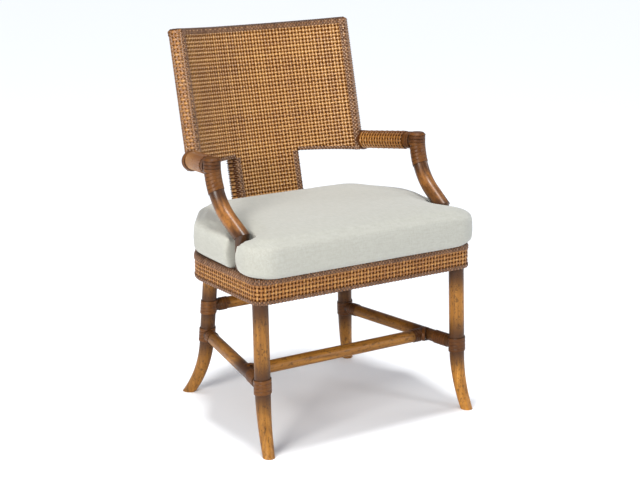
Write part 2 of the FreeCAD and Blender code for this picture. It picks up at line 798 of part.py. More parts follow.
def build_cushion():
    """Crowned pad with drawn-in sides, lofted through level outlines."""
    low = SEAT_TOP + size("cushion_seat_gap")
    tall, crown = size("cushion_edge_height"), size("cushion_crown")
    walls = [cushion_outline(share, low + tall * rise) for share, rise in CUSHION_SIDES]
    dome = [cushion_outline(share, low + tall + crown * rise) for share, rise in CUSHION_CROWN]
    pad = Part.makeLoft(walls, True, False).fuse(Part.makeLoft(dome, True, False))
    return solid("cushion_pad", pad)


# Assembly: each piece is made, cut to fit its neighbours and named.

bores = {}
dowels = {"stretcher_dowels": [], "leg_dowels": [], "post_dowels": [], "splat_dowels": [],
          "arm_mitre_dowels": []}
bindings = {"arm_rail_windings": [], "arm_post_windings": [], "stretcher_windings": [], "leg_bands": []}


def place_dowel(node, takers, name, joint, into, surface=0.0, bite="dowel_bite"):
    """One dowel and its bore, noted for each piece that the bore runs through."""
    pin, bore = dowel_pair(name, joint, into, surface, bite)
    dowels[node].append(pin)
    for taker in takers:
        bores.setdefault(taker, []).append(bore)


stretcher_radius = size("stretcher_diameter") / 2
leg_radius = size("leg_diameter") / 2

for side in SIDES:
    front, rear = side_stretcher_ends(side)
    along = (rear - front).normalize()
    stretcher = f"side_stretcher_{side}"
    place_dowel("stretcher_dowels", [stretcher, f"front_leg_{side}"], f"{stretcher}_front", front, along, leg_radius)
    place_dowel("stretcher_dowels", [stretcher, f"rear_leg_{side}"], f"{stretcher}_rear", rear, along * -1, leg_radius)
    inward = Vector(-SIDES[side], 0, 0)
    place_dowel("stretcher_dowels", ["cross_stretcher", stretcher], f"cross_stretcher_{side}",
                cross_stretcher_end(side), inward, stretcher_radius)
    rear_joint = LEGS["rear", side].axis_at(size("rear_stretcher_height"))
    place_dowel("stretcher_dowels", ["rear_stretcher", f"rear_leg_{side}"], f"rear_stretcher_{side}",
                rear_joint, inward, leg_radius)
    for end in ("front", "rear"):
        leg = LEGS[end, side]
        rail = f"seat_side_rail_{side}"
        takers = [leg.name, rail, "seat_weave"]
        if leg.top.y < size("seat_front") + size("front_rail_width") + size("dowel_diameter"):
            takers.append("seat_front_rail")
        place_dowel("leg_dowels", takers, leg.name + "_top", leg.top, UP, 0.0)
    foot = Vector(SIDES[side] * POST_FOOT_X, POST_FOOT_Y, SEAT_TOP)
    place_dowel("post_dowels", [f"arm_post_foot_{side}", f"seat_side_rail_{side}", "seat_weave"],
                f"arm_post_foot_{side}", foot, UP, 0.0)

# Legs
for leg in LEGS.values():
    keep(leg.name, cut(leg.name + "_bored", build_leg(leg), bores[leg.name]))

# Stretchers, coped to the legs and to each other
for side in SIDES:
    front, rear = side_stretcher_ends(side)
    name = f"side_stretcher_{side}"
    pole = rod(name + "_pole", front, rear, STRETCHER_RADIUS)
    sleeves = [leg_sleeve(LEGS[end, side], f"{name}_{end}_cope") for end in ("front", "rear")]
    keep(name, cut(name + "_coped", pole, sleeves + bores[name]))

cross_left, cross_right = cross_stretcher_end("left"), cross_stretcher_end("right")
cross = rod("cross_stretcher_pole", cross_left, cross_right, STRETCHER_RADIUS)
copes = []
for side in SIDES:
    front, rear = side_stretcher_ends(side)
    copes.append(rod(f"cross_stretcher_{side}_cope", front, rear, STRETCHER_RADIUS + " + Sizes.cope_gap"))
keep("cross_stretcher", cut("cross_stretcher_coped", cross, copes + bores["cross_stretcher"]))

rear_left, rear_right = (LEGS["rear", side].axis_at(size("rear_stretcher_height")) for side in SIDES)
back_bar = rod("rear_stretcher_pole", rear_left, rear_right, STRETCHER_RADIUS)
copes = [leg_sleeve(LEGS["rear", side], f"rear_stretcher_{side}_cope") for side in SIDES]
keep("rear_stretcher", cut("rear_stretcher_coped", back_bar, copes + bores["rear_stretcher"]))

# Back: woven cover, poles inside it, splat dowels into the rear rail
cover, rail_rise, side_angle, splat_angle = build_back()
BACK_POLE = "Sizes.back_pole_diameter / 2"
LOWER_RAIL = "Sizes.lower_rail_diameter / 2"
top_half = size("back_radius") * sin(side_angle)
top_sag = size("back_radius") * (1 - cos(side_angle)) / cos(TOP_TILT)
top_radius = (top_half ** 2 + top_sag ** 2) / (2 * top_sag)
top_plane = BACK_FRAME.multiply(Placement(UP * rail_rise, Rotation(Vector(1, 0, 0), degrees(TOP_TILT))))
top_centre = top_plane.multiply(Placement(Vector(0, -top_radius, 0), Rotation()))


def top_rail(name, thickness):
    return bow(name, top_centre, top_radius, thickness, asin(top_half / top_radius))


keep("back_top_rail", top_rail("back_top_rail_bow", BACK_POLE))
top_room = top_rail("top_rail_room", BACK_POLE + " + Sizes.cope_gap")

lower_level = size("wing_underside") + size("weave_thickness") + size("lower_rail_diameter") / 2 + size("cope_gap")
lower_half = BACK_HALF_ANGLE - size("arm_pole_diameter") / 2 / size("back_radius")
lower_end = on_back(lower_half, slope_height(lower_half, lower_level), size("back_radius"))
lower_middle = on_back(0, slope_height(0, lower_level), size("back_radius"))
sag = lower_middle.y - lower_end.y
lower_radius = (lower_end.x ** 2 + sag ** 2) / (2 * sag)
lower_centre = Vector(0, lower_middle.y - lower_radius, lower_level)
lower_sweep = asin(lower_end.x / lower_radius)


def lower_rail(name, thickness):
    return bow(name, Placement(lower_centre, Rotation()), lower_radius, thickness, lower_sweep)


def arm_sleeve(side, name):
    elbow, front = arm_line(side)
    beyond = elbow + (elbow - front).normalize() * size("arm_pole_diameter")
    return rod(name, beyond, front, "Sizes.arm_pole_diameter / 2 + Sizes.cope_gap")


keep("back_lower_rail", cut("back_lower_rail_coped", lower_rail("back_lower_rail_bow", LOWER_RAIL),
                            [arm_sleeve(side, f"lower_rail_{side}_cope") for side in SIDES]))

rail_room = lower_rail("lower_rail_room", LOWER_RAIL + " + Sizes.cope_gap")
for side, sign in SIDES.items():
    name = f"back_side_post_{side}"
    foot_level = slope_height(side_angle, size("arm_elbow_height"))
    low = on_back(sign * side_angle, foot_level, size("back_radius"))
    rail_end = rail_rise - top_sag * sin(TOP_TILT)
    high = on_back(sign * side_angle, rail_end, size("back_radius"))
    pole = rod(name + "_pole", low, high, BACK_POLE)
    keep(name, cut(name + "_coped", pole, [arm_sleeve(side, name + "_arm_cope"), rail_room, top_room]))
    name = f"splat_stile_{side}"
    below = slope_height(splat_angle, SEAT_TOP - size("back_thickness"))
    low = on_back(sign * splat_angle, below, size("back_radius"))
    high = on_back(sign * splat_angle, slope_height(splat_angle, lower_level), size("back_radius"))
    pole = rod(name + "_pole", low, high, BACK_POLE)
    seat_room = half_space(Vector(0, 0, SEAT_TOP), UP * -1, name + "_seat_room")
    root = on_back(sign * splat_angle, slope_height(splat_angle, SEAT_TOP), size("back_radius"))
    place_dowel("splat_dowels", [name, "seat_rear_rail", "seat_weave"], name, root, (high - low).normalize(), 0.0)
    keep(name, cut(name + "_coped", pole, [seat_room, rail_room] + bores[name]))

keep("back_weave", cut("back_weave_notched", solid("back_weave_cover", cover),
                       [arm_sleeve(side, f"back_weave_{side}_notch") for side in SIDES]))

# Arms: rail, post and foot, mitred to each other, with the cane and strips round them
arm_radius = size("arm_pole_diameter") / 2
post_rooms = []
for side, sign in SIDES.items():
    frame = post_frame(side)
    elbow, front = arm_line(side)
    ahead = (front - elbow).normalize()
    slant = frame.Rotation.multVec(Vector(0, -sin(POST_ANGLE), -cos(POST_ANGLE)))
    mitre_plane = (ahead - UP).normalize()
    corner = (ahead + UP).normalize()
    foot_joint = frame.multVec(Vector(0, -POST_RUN, MITRE_Z))
    foot_plane = (slant - UP).normalize()
    rail, post, foot = f"arm_rail_{side}", f"arm_post_{side}", f"arm_post_foot_{side}"
    place_dowel("arm_mitre_dowels", [rail, post], rail + "_mitre", front, mitre_plane, bite="dowel_leg_bite")
    place_dowel("arm_mitre_dowels", [post, foot], post + "_mitre", foot_joint, foot_plane,
                bite="dowel_leg_bite")
    blunt = half_space(front + corner * size("arm_corner_reach"), corner, f"arm_corner_{side}")
    rail_pole = rod(rail + "_pole", elbow - ahead * arm_radius, front + ahead * (2 * arm_radius), ARM_POLE)
    beyond = half_space(front, mitre_plane, rail + "_mitre_cut")
    keep(rail, cut(rail + "_cut", rail_pole, [beyond, blunt] + bores[rail]))
    post_pole = build_post(post + "_pole", side, None)
    above = half_space(front, mitre_plane * -1, post + "_top_cut")
    below = half_space(foot_joint, foot_plane, post + "_foot_cut")
    keep(post, cut(post + "_cut", post_pole, [above, below, blunt] + bores[post]))
    foot_base = Vector(foot_joint.x, foot_joint.y, SEAT_TOP)
    stub = rod(foot + "_pole", foot_base, foot_joint + UP * arm_radius, "Sizes.post_foot_diameter / 2")
    over = half_space(foot_joint, foot_plane * -1, foot + "_top_cut")
    keep(foot, cut(foot + "_cut", stub, [over] + bores[foot]))
    post_rooms.append(build_post(post + "_room", side, "cushion_post_gap"))

    weave_end = front - ahead * size("arm_weave_stop")
    tube = rod(f"arm_weave_{side}_tube", elbow, weave_end, ARM_POLE + " + Sizes.arm_weave_thickness")
    panel_room = solid(f"arm_weave_{side}_panel_room", tee_slab(-size("cope_gap")))
    keep(f"arm_weave_{side}", cut(f"arm_weave_{side}_cut", tube,
                                  [arm_sleeve(side, f"arm_weave_{side}_bore"), panel_room]))
    bindings["arm_rail_windings"].append(
        wind_straight(f"arm_rail_winding_{side}", weave_end + ahead * STRIP_PITCH, ahead, arm_radius, RAIL_TURNS))
    bindings["arm_post_windings"].append(wind_post(f"arm_post_winding_{side}", side, POST_TURNS))

# Seat
rails, seat_weave, deck, cleats = build_seat()
for name, shape in rails.items():
    keep(name, cut(name + "_bored", solid(name + "_bar", shape), bores.get(name, [])))
keep("seat_weave", cut("seat_weave_bored", solid("seat_weave_wrap", seat_weave), bores["seat_weave"]))
keep("seat_deck", solid("seat_deck_board", deck))
keep("seat_cleats", solid("seat_cleat_strips", cleats))

# Bands and windings on the legs and stretchers
wrap_room = STRETCHER_RADIUS + " + Sizes.strip_thickness + 2 * Sizes.strip_seat_gap"
for side in SIDES:
    front, rear = side_stretcher_ends(side)
    along = (rear - front).normalize()
    level = size("side_stretcher_height")
    for end in ("front", "rear"):
        leg = LEGS[end, side]
        room = rod(f"{leg.name}_band_room", front, rear, wrap_room)
        bindings["leg_bands"].append(joint_band(f"{leg.name}_band", leg, level, [room]))
    rear_leg = LEGS["rear", side]
    rear_level = size("rear_stretcher_height")
    across = rod(f"rear_joint_{side}_room", rear_left, rear_right, wrap_room)
    bindings["leg_bands"].append(joint_band(f"rear_joint_band_{side}", rear_leg, rear_level, [across]))
    clear = leg_radius + size("band_thickness") + STRIP_PITCH
    inward = Vector(-SIDES[side], 0, 0)
    cross_from = cross_stretcher_end(side) + inward * (stretcher_radius + STRIP_PITCH)
    wound = {
        f"stretcher_front_winding_{side}": (front + along * clear, along, FRONT_TURNS),
        f"stretcher_rear_winding_{side}": (rear - along * clear, along * -1, JOINT_TURNS),
        f"cross_winding_{side}": (cross_from, inward, JOINT_TURNS),
        f"rear_stretcher_winding_{side}": (rear_leg.axis_at(rear_level) + inward * clear, inward, JOINT_TURNS),
    }
    for name, (start, way, turns) in wound.items():
        bindings["stretcher_windings"].append(wind_straight(name, start, way, stretcher_radius, turns))

# Cushion, notched round the arm posts
notches = []
for side, sign in SIDES.items():
    notch = doc.addObject("Part::Box", f"cushion_notch_{side}")
    bind(notch, Length="Sizes.seat_width", Height="Sizes.seat_width",
         Width="Sizes.post_foot_diameter + 2 * Sizes.cushion_notch_gap")
    inner = POST_FOOT_X - size("post_foot_diameter") / 2 - size("cushion_notch_gap")
    start_x = inner if sign > 0 else -inner - size("seat_width")
    half = size("post_foot_diameter") / 2 + size("cushion_notch_gap")
    notch.Placement = Placement(Vector(start_x, POST_FOOT_Y - half, SEAT_TOP - half), Rotation())
    notches.append(notch)
keep("seat_cushion", cut("seat_cushion_notched", build_cushion(), notches + post_rooms))

for node, pieces in {**dowels, **bindings}.items():
    group(node, pieces)

# Check everything, then write one file per sub-part
doc.recompute()
for obj in doc.Objects:
    if "Invalid" in obj.State or "Error" in obj.State:
        raise RuntimeError(f"{obj.Name} failed: {obj.State}")
for label, obj in NODES.items():
    if obj.Shape.isNull() or not obj.Shape.isValid() or not obj.Shape.Solids:
        raise RuntimeError(f"{label} has no valid shape")

os.makedirs("parts", exist_ok=True)
for label, obj in NODES.items():
    obj.Shape.exportStep(f"parts/{label}.step")
print(len(NODES), "sub-parts written")
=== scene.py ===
import random
from math import asin, ceil, cos, pi, radians, sin, tan

import bmesh
import bpy
from mathutils import Matrix, Vector
from mathutils.bvhtree import BVHTree


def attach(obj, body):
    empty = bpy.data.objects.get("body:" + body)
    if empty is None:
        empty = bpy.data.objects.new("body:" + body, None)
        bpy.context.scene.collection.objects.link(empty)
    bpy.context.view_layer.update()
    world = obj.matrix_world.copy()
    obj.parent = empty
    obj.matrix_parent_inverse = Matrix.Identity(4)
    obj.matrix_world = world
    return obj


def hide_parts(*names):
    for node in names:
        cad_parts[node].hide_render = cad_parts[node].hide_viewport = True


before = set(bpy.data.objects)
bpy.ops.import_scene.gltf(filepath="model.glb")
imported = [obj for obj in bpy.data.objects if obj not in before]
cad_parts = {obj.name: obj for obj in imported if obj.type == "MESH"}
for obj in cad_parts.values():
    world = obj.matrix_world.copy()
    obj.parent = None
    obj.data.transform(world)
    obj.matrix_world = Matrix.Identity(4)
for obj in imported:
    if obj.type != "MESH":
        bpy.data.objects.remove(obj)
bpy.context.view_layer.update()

MM = 0.001
SEAM = 1e-6
UP = Vector((0, 0, 1))
CHAIR = "chair_frame"

# Sizes of the solids that the woven and wound pieces lie on, in millimetres

SEAT_LOW, SEAT_TOP = 355.5, 412.0
SEAT_FRONT, SEAT_REAR, SEAT_BEND = -279.2, 198.8, -2.2
SEAT_HALF_FRONT, SEAT_HALF_BEND = 293.0, 306.0
SEAT_TAPER_TURN = radians(31.6)
SEAT_TAPER = tan(SEAT_TAPER_TURN)
SEAT_RADII = (26.0, 95.0, 45.0)
SEAT_RAIL = 54.0
SEAT_EDGE = 8.0
RAKE = radians(13.7)
BACK_INSET = 24.3
BACK_FOOT = Vector((0, SEAT_REAR - BACK_INSET, SEAT_TOP))
BACK_RADIUS, BACK_THICK, BACK_HEIGHT = 347.0, 33.0, 491.5
BACK_CHORD, SPLAT_CHORD = 482.0, 190.0
BACK_HALF = asin(BACK_CHORD / 2 / BACK_RADIUS) * BACK_RADIUS
SPLAT_HALF = asin(SPLAT_CHORD / 2 / BACK_RADIUS) * BACK_RADIUS
WING_UNDERSIDE = 587.0
BACK_EDGE = 8.0
BACK_CROWN = 9.0
BACK_SAG = BACK_RADIUS * (1 - cos(BACK_HALF / BACK_RADIUS))
ARM_RADIUS = 18.3
LEG_RADIUS = 18.3
STRETCHER_RADIUS = 15.0

# Looks: colours are sRGB hex values that one function makes linear


def linear(code):
    """An sRGB hex colour as linear red, green, blue and alpha."""
    parts = [int(code[i:i + 2], 16) / 255 for i in (1, 3, 5)]
    return tuple(c / 12.92 if c <= 0.04045 else ((c + 0.055) / 1.055) ** 2.4 for c in parts) + (1.0,)


def feed(tree, node, inputs):
    """Set a node's inputs, by order or by name, to values, or link sockets to them."""
    keyed = inputs.items() if isinstance(inputs, dict) else enumerate(inputs)
    for key, value in keyed:
        if isinstance(value, bpy.types.NodeSocket):
            tree.links.new(value, node.inputs[key])
        else:
            node.inputs[key].default_value = value


def add(tree, kind, inputs=(), out=0, stops=(), **settings):
    """Add a shader node with its settings and inputs, and give back one of its outputs.

    stops are the places and hex colours of a colour ramp."""
    node = tree.nodes.new("ShaderNode" + kind)
    for name, value in settings.items():
        setattr(node, name, value)
    feed(tree, node, inputs)
    if stops:
        bar = node.color_ramp.elements
        while len(bar) < len(stops):
            bar.new(0.5)
        for element, (place, code) in zip(bar, stops):
            element.position = place
            element.color = linear(code)
    return node.outputs[out]


def new_material(name):
    """A material with its node tree and its shader."""
    material = bpy.data.materials.new(name)
    material.use_nodes = True
    tree = material.node_tree
    return material, tree, tree.nodes["Principled BSDF"]


def per_metre(millimetres, stretch=1.0):
    """Scale of a pattern whose features are that many millimetres wide, drawn out by stretch."""
    return 1.0 / (millimetres * MM * stretch)


# Settings that many nodes share: ranges with soft ends, mixed colours, and the roughness of noise

SOFT = {"interpolation_type": "SMOOTHSTEP"}
COLOURS = {"data_type": "RGBA", "out": 2}
GRAIN = {"Roughness": 0.55}

# Places of the joints, in metres, where lacquer and stain gather, and where the stain is full and faded

JOINTS = [(0.271, -0.257, 0.160), (0.206, 0.147, 0.160), (0.200, 0.140, 0.2315),
          (0.259, -0.154, 0.160), (0.268, -0.249, 0.356), (0.193, 0.133, 0.356)]
STAIN_FULL, STAIN_FADED = 0.022, 0.085


def joint_shade(tree, place):
    """How near the surface is to a joint of the frame: 1 at the joint, 0 where the stain has faded."""
    sideways, depth, height = (add(tree, "SeparateXYZ", [place], axis) for axis in "XYZ")
    folded = add(tree, "Math", [sideways], operation="ABSOLUTE")
    mirrored = add(tree, "CombineXYZ", [folded, depth, height])
    nearest = 1.0
    for joint in JOINTS:
        apart = add(tree, "VectorMath", [mirrored, joint], "Value", operation="DISTANCE")
        nearest = add(tree, "Math", [nearest, apart], operation="MINIMUM")
    return add(tree, "MapRange", [nearest, STAIN_FULL, STAIN_FADED, 1.0, 0.0], **SOFT)


# Streaks, clouds, flecks and dashes of rattan: millimetres wide, detail, power of the stretch along the pole

RATTAN_GRAINS = [(7, 4.0, 1.0), (60, 2.0, 0.5), (5.5, 2.0, 0.3), (3.0, 1.0, 0.15)]

# The heights, in metres, between which an amber belt on the arm posts comes and goes

AMBER_FOOT, AMBER_TOP = (0.497, 0.518), (0.545, 0.573)


def rattan_material(name, stretch, body, stain, gloss, flecks, amber=None):
    """Peeled rattan pole, stained and lacquered: streaks along the pole, dark flecks, satin shine."""
    material, tree, shader = new_material(name)
    place = add(tree, "TexCoord", out="Object")
    grains = []
    for wide, detail, power in RATTAN_GRAINS:
        scale = [per_metre(wide, s ** power) for s in stretch]
        drawn = add(tree, "Mapping", {"Vector": place, "Scale": scale})
        grains.append(add(tree, "TexNoise", {"Vector": drawn, "Scale": 1.0, "Detail": detail, **GRAIN}))
    streak, cloud, fleck, dash = grains
    base = add(tree, "ValToRGB", [streak], stops=[(0.25, body[0]), (0.5, body[1]), (0.75, body[2])])
    cloudy = add(tree, "MapRange", [cloud, 0.42, 0.72, 0.0, 0.55], **SOFT)
    clouded = add(tree, "Mix", {0: cloudy, 6: base, 7: linear(body[0])}, **COLOURS)
    stained = add(tree, "Mix", {0: joint_shade(tree, place), 6: clouded, 7: linear(stain)}, **COLOURS)
    if amber:
        height = add(tree, "SeparateXYZ", [place], "Z")
        rising = add(tree, "MapRange", [height, *AMBER_FOOT, 0.0, 1.0], **SOFT)
        falling = add(tree, "MapRange", [height, *AMBER_TOP, 1.0, 0.0], **SOFT)
        belt = add(tree, "Math", [rising, falling], operation="MULTIPLY")
        patchy = add(tree, "MapRange", [streak, 0.35, 0.65, 0.25, 0.85], **SOFT)
        rubbed = add(tree, "Math", [belt, patchy], operation="MULTIPLY")
        stained = add(tree, "Mix", {0: rubbed, 6: stained, 7: linear(amber)}, **COLOURS)
    specks = add(tree, "MapRange", [fleck, 0.57, 0.67, 0.0, 0.75 * flecks], **SOFT)
    speckled = add(tree, "Mix", {0: specks, 6: stained, 7: linear("#3A2410")}, **COLOURS)
    dashes = add(tree, "MapRange", [dash, 0.64, 0.70, 0.0, 0.9 * flecks], **SOFT)
    colour = add(tree, "Mix", {0: dashes, 6: speckled, 7: linear("#1E1207")}, **COLOURS)
    shine = add(tree, "MapRange", [streak, 0.3, 0.7, gloss, gloss + 0.14], **SOFT)
    bump = add(tree, "Bump", {"Strength": 0.25, "Distance": 0.0006, "Height": streak})
    feed(tree, shader, {"Base Color": colour, "Roughness": shine, "Normal": bump, "Specular IOR Level": 0.22,
                        "Coat Weight": 0.3 if amber else 0.05, "Coat Roughness": 0.3})
    return material


def cane_material(name, body, crest_highlight, dip_shade_colour):
    """Split cane, stained and lacquered: a tone for each strand, a painted highlight on its crests, painted
    shade where it dips.
    """
    material, tree, shader = new_material(name)
    place = add(tree, "TexCoord", out="Object")
    tone = add(tree, "Attribute", out="Fac", attribute_name="tone")
    rise = add(tree, "Attribute", out="Fac", attribute_name="rise")
    patch = add(tree, "TexNoise", {"Vector": place, "Scale": per_metre(85), "Detail": 3.0, **GRAIN})
    fibre = add(tree, "TexNoise", {"Vector": place, "Scale": per_metre(2.4), "Detail": 2.0, **GRAIN})
    patchy = add(tree, "MapRange", [patch, 0.3, 0.7, 0.18, 0.36], **SOFT)
    strand_tone = add(tree, "Math", [tone, 0.45, patchy], operation="MULTIPLY_ADD")
    base = add(tree, "ValToRGB", [strand_tone], stops=[(0.1, body[0]), (0.45, body[1]), (0.85, body[2])])
    age = add(tree, "MapRange", [fibre, 0.35, 0.75, 0.0, 0.35], **SOFT)
    aged = add(tree, "Mix", {0: age, 6: base, 7: linear("#744519")}, **COLOURS)
    # painted highlight: the crests of the strands are lightened towards a pale colour
    highlight_share = add(tree, "MapRange", [rise, 0.62, 1.0, 0.0, 0.7], **SOFT)
    highlighted = add(tree, "Mix", {0: highlight_share, 6: aged, 7: linear(crest_highlight)}, **COLOURS)
    # painted shade: where a strand dips under its neighbours it is darkened towards a deep colour
    dip_shade_share = add(tree, "MapRange", [rise, 0.0, 0.7, 0.85, 0.0], **SOFT)
    colour = add(tree, "Mix", {0: dip_shade_share, 6: highlighted, 7: linear(dip_shade_colour)}, **COLOURS)
    shine = add(tree, "MapRange", [fibre, 0.3, 0.7, 0.34, 0.5], **SOFT)
    feed(tree, shader, {"Base Color": colour, "Roughness": shine, "Specular IOR Level": 0.3,
                        "Coat Weight": 0.25, "Coat Roughness": 0.2})
    return material


def backing_material(name):
    """Inner side of the cane cover, in shade behind the holes of the weave: dull, dark brown."""
    material, tree, shader = new_material(name)
    place = add(tree, "TexCoord", out="Object")
    grain = add(tree, "TexNoise", {"Vector": place, "Scale": per_metre(12), "Detail": 2.0, **GRAIN})
    colour = add(tree, "ValToRGB", [grain], stops=[(0.3, "#361A03"), (0.7, "#522A08")])
    feed(tree, shader, {"Base Color": colour, "Roughness": 0.8, "Specular IOR Level": 0.1})
    return material


def leather_material(name):
    """Thin rawhide strips, stained brown and rubbed: a dull sheen, and painted shade in the grooves between
    strips.
    """
    material, tree, shader = new_material(name)
    place = add(tree, "TexCoord", out="Object")
    rise = add(tree, "Attribute", out="Fac", attribute_name="rise")
    tone = add(tree, "Attribute", out="Fac", attribute_name="tone")
    patch = add(tree, "TexNoise", {"Vector": place, "Scale": per_metre(14), "Detail": 3.0, **GRAIN})
    pores = add(tree, "TexNoise", {"Vector": place, "Scale": per_metre(1.6), "Detail": 2.0, **GRAIN})
    patchy = add(tree, "MapRange", [patch, 0.3, 0.7, 0.2, 0.45], **SOFT)
    strip_tone = add(tree, "Math", [tone, 0.35, patchy], operation="MULTIPLY_ADD")
    base = add(tree, "ValToRGB", [strip_tone], stops=[(0.1, "#3E220B"), (0.5, "#563212"), (0.9, "#70461C")])
    # painted shade in the grooves, where a strip's rise is low
    groove_shade = add(tree, "MapRange", [rise, 0.6, 1.0, 0.9, 0.0], **SOFT)
    colour = add(tree, "Mix", {0: groove_shade, 6: base, 7: linear("#1E1007")}, **COLOURS)
    shine = add(tree, "MapRange", [patch, 0.3, 0.7, 0.34, 0.5], **SOFT)
    bump = add(tree, "Bump", {"Strength": 0.3, "Distance": 0.0003, "Height": pores})
    feed(tree, shader, {"Base Color": colour, "Roughness": shine, "Normal": bump, "Specular IOR Level": 0.2})
    return material


# Linen threads lie less than a millimetre apart, too fine to show, so they are drawn coarser, in millimetres

LINEN_THREAD, LINEN_SLUB = 1.6, 3.0


def linen_material(name):
    """Plain-woven linen cover: off-white with grey slubs, a fine thread grid and a soft sheen."""
    material, tree, shader = new_material(name)
    place = add(tree, "TexCoord", out="Object")
    threads = 0.0
    for axis in "XYZ":
        along = add(tree, "SeparateXYZ", [place], axis)
        turned = add(tree, "Math", [along, 2 * pi * per_metre(LINEN_THREAD)], operation="MULTIPLY")
        wave = add(tree, "Math", [turned], operation="SINE")
        threads = add(tree, "Math", [threads, wave], operation="ADD")
    slubs = []
    for stretch in ((7, 1, 1), (1, 7, 2)):
        scale = [per_metre(LINEN_SLUB, s) for s in stretch]
        drawn = add(tree, "Mapping", {"Vector": place, "Scale": scale})
        slubs.append(add(tree, "TexNoise", {"Vector": drawn, "Scale": 1.0, "Detail": 3.0, **GRAIN}))
    slub = add(tree, "Math", slubs, operation="ADD")
    mottle = add(tree, "MapRange", [slub, 0.6, 1.4, 0.0, 1.0], **SOFT)
    base = add(tree, "ValToRGB", [mottle], stops=[(0.0, "#9B9B92"), (0.5, "#A1A198"), (1.0, "#A7A79F")])
    patch = add(tree, "TexNoise", {"Vector": place, "Scale": per_metre(90), "Detail": 2.0, **GRAIN})
    blot = add(tree, "MapRange", [patch, 0.35, 0.7, 0.0, 0.3], **SOFT)
    colour = add(tree, "Mix", {0: blot, 6: base, 7: linear("#A09F95")}, **COLOURS)
    height = add(tree, "Math", [slub, 1.6, threads], operation="MULTIPLY_ADD")
    bump = add(tree, "Bump", {"Strength": 0.1, "Distance": 0.0003, "Height": height})
    feed(tree, shader, {"Base Color": colour, "Normal": bump, "Roughness": 0.92, "Specular IOR Level": 0.2,
                        "Sheen Weight": 0.25, "Sheen Roughness": 0.5})
    return material


def plain_wood_material(name, light, dark):
    """Sawn rails, deck and dowels, out of sight: straight grain, no lacquer."""
    material, tree, shader = new_material(name)
    place = add(tree, "TexCoord", out="Object")
    scale = [per_metre(5, s) for s in (14, 1, 1)]
    drawn = add(tree, "Mapping", {"Vector": place, "Scale": scale})
    grain = add(tree, "TexNoise", {"Vector": drawn, "Scale": 1.0, "Detail": 3.0, **GRAIN})
    colour = add(tree, "ValToRGB", [grain], stops=[(0.3, dark), (0.7, light)])
    feed(tree, shader, {"Base Color": colour, "Roughness": 0.7})
    return material


HONEY = ("#6B4519", "#8F5F23", "#AE7931")
# The paler copy of the honey colours is painted light: it stands in for more light falling on the front
# right leg
LIT_HONEY = ("#7B501E", "#A36D29", "#C78A39")
TAWNY = ("#2E1A0C", "#4C2E15", "#6E4722")
POLE_FINISH = {"stain": "#43270F", "gloss": 0.36, "flecks": 0.75}
ARM_FINISH = {"stain": "#3A2210", "gloss": 0.3, "flecks": 0.5, "amber": "#96612A"}
# The last two colours of each cane are a painted highlight on the crests and painted shade in the dips
cane = cane_material("woven_split_cane", ("#80501F", "#A87333", "#C28E49"), "#ECCDA2", "#4F2607")
edge_cane = cane_material("wrapped_cane_edge", ("#563519", "#7B5536", "#98704E"), "#E6CDB8", "#2A1508")
backing = backing_material("shaded_cane_backing")
leather = leather_material("rawhide_strip")
linen = linen_material("slub_linen")
pole_upright = rattan_material("lacquered_rattan_upright", (1, 1, 16), HONEY, **POLE_FINISH)
# painted light: a paler copy of the upright rattan for the front right leg
pole_painted_lit = rattan_material("lacquered_rattan_painted_light", (1, 1, 16), LIT_HONEY, **POLE_FINISH)
pole_fore = rattan_material("lacquered_rattan_fore_and_aft", (1, 16, 1), HONEY, **POLE_FINISH)
pole_across = rattan_material("lacquered_rattan_across", (16, 1, 1), HONEY, **POLE_FINISH)
arm_wood = rattan_material("stained_rattan_arm", (1, 5, 9), TAWNY, **ARM_FINISH)
frame_wood = plain_wood_material("sawn_frame_wood", "#8C6A42", "#6B4C2B")
dowel_wood = plain_wood_material("beech_dowel", "#C4A274", "#A88456")

# The nodes get their materials, by the first start of a name that fits

NODE_MATERIALS = {
    # the front right leg takes the paler copy, painted light
    "front_leg_right": pole_painted_lit, "front_leg_": pole_upright, "rear_leg_": pole_upright,
    "side_stretcher_": pole_fore, "cross_stretcher": pole_across, "rear_stretcher": pole_across,
    "arm_rail_l": arm_wood, "arm_rail_r": arm_wood, "arm_post_": arm_wood,
    "back_weave": backing, "seat_weave": backing, "arm_weave_": backing,
    "back_": pole_upright, "splat_stile": pole_upright,
    "seat_": frame_wood,
}
for name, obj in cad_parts.items():
    chosen = dowel_wood if name.endswith("_dowels") else None
    for start, material in NODE_MATERIALS.items():
        if chosen is None and name.startswith(start):
            chosen = material
    obj.data.materials.clear()
    obj.data.materials.append(chosen or leather)


# Strands: a section, given by its sides and how square it is, carried along points and outward directions

LENS, FLAT, CROWNED = (6, 1.0), (10, 0.45), (10, 0.7)
UNDER_SHADE = 0.35


def squared_off(value, power):
    """A sine or cosine pushed towards 1 or -1 by a power under 1."""
    return abs(value) ** power * (1 if value > 0 else -1)


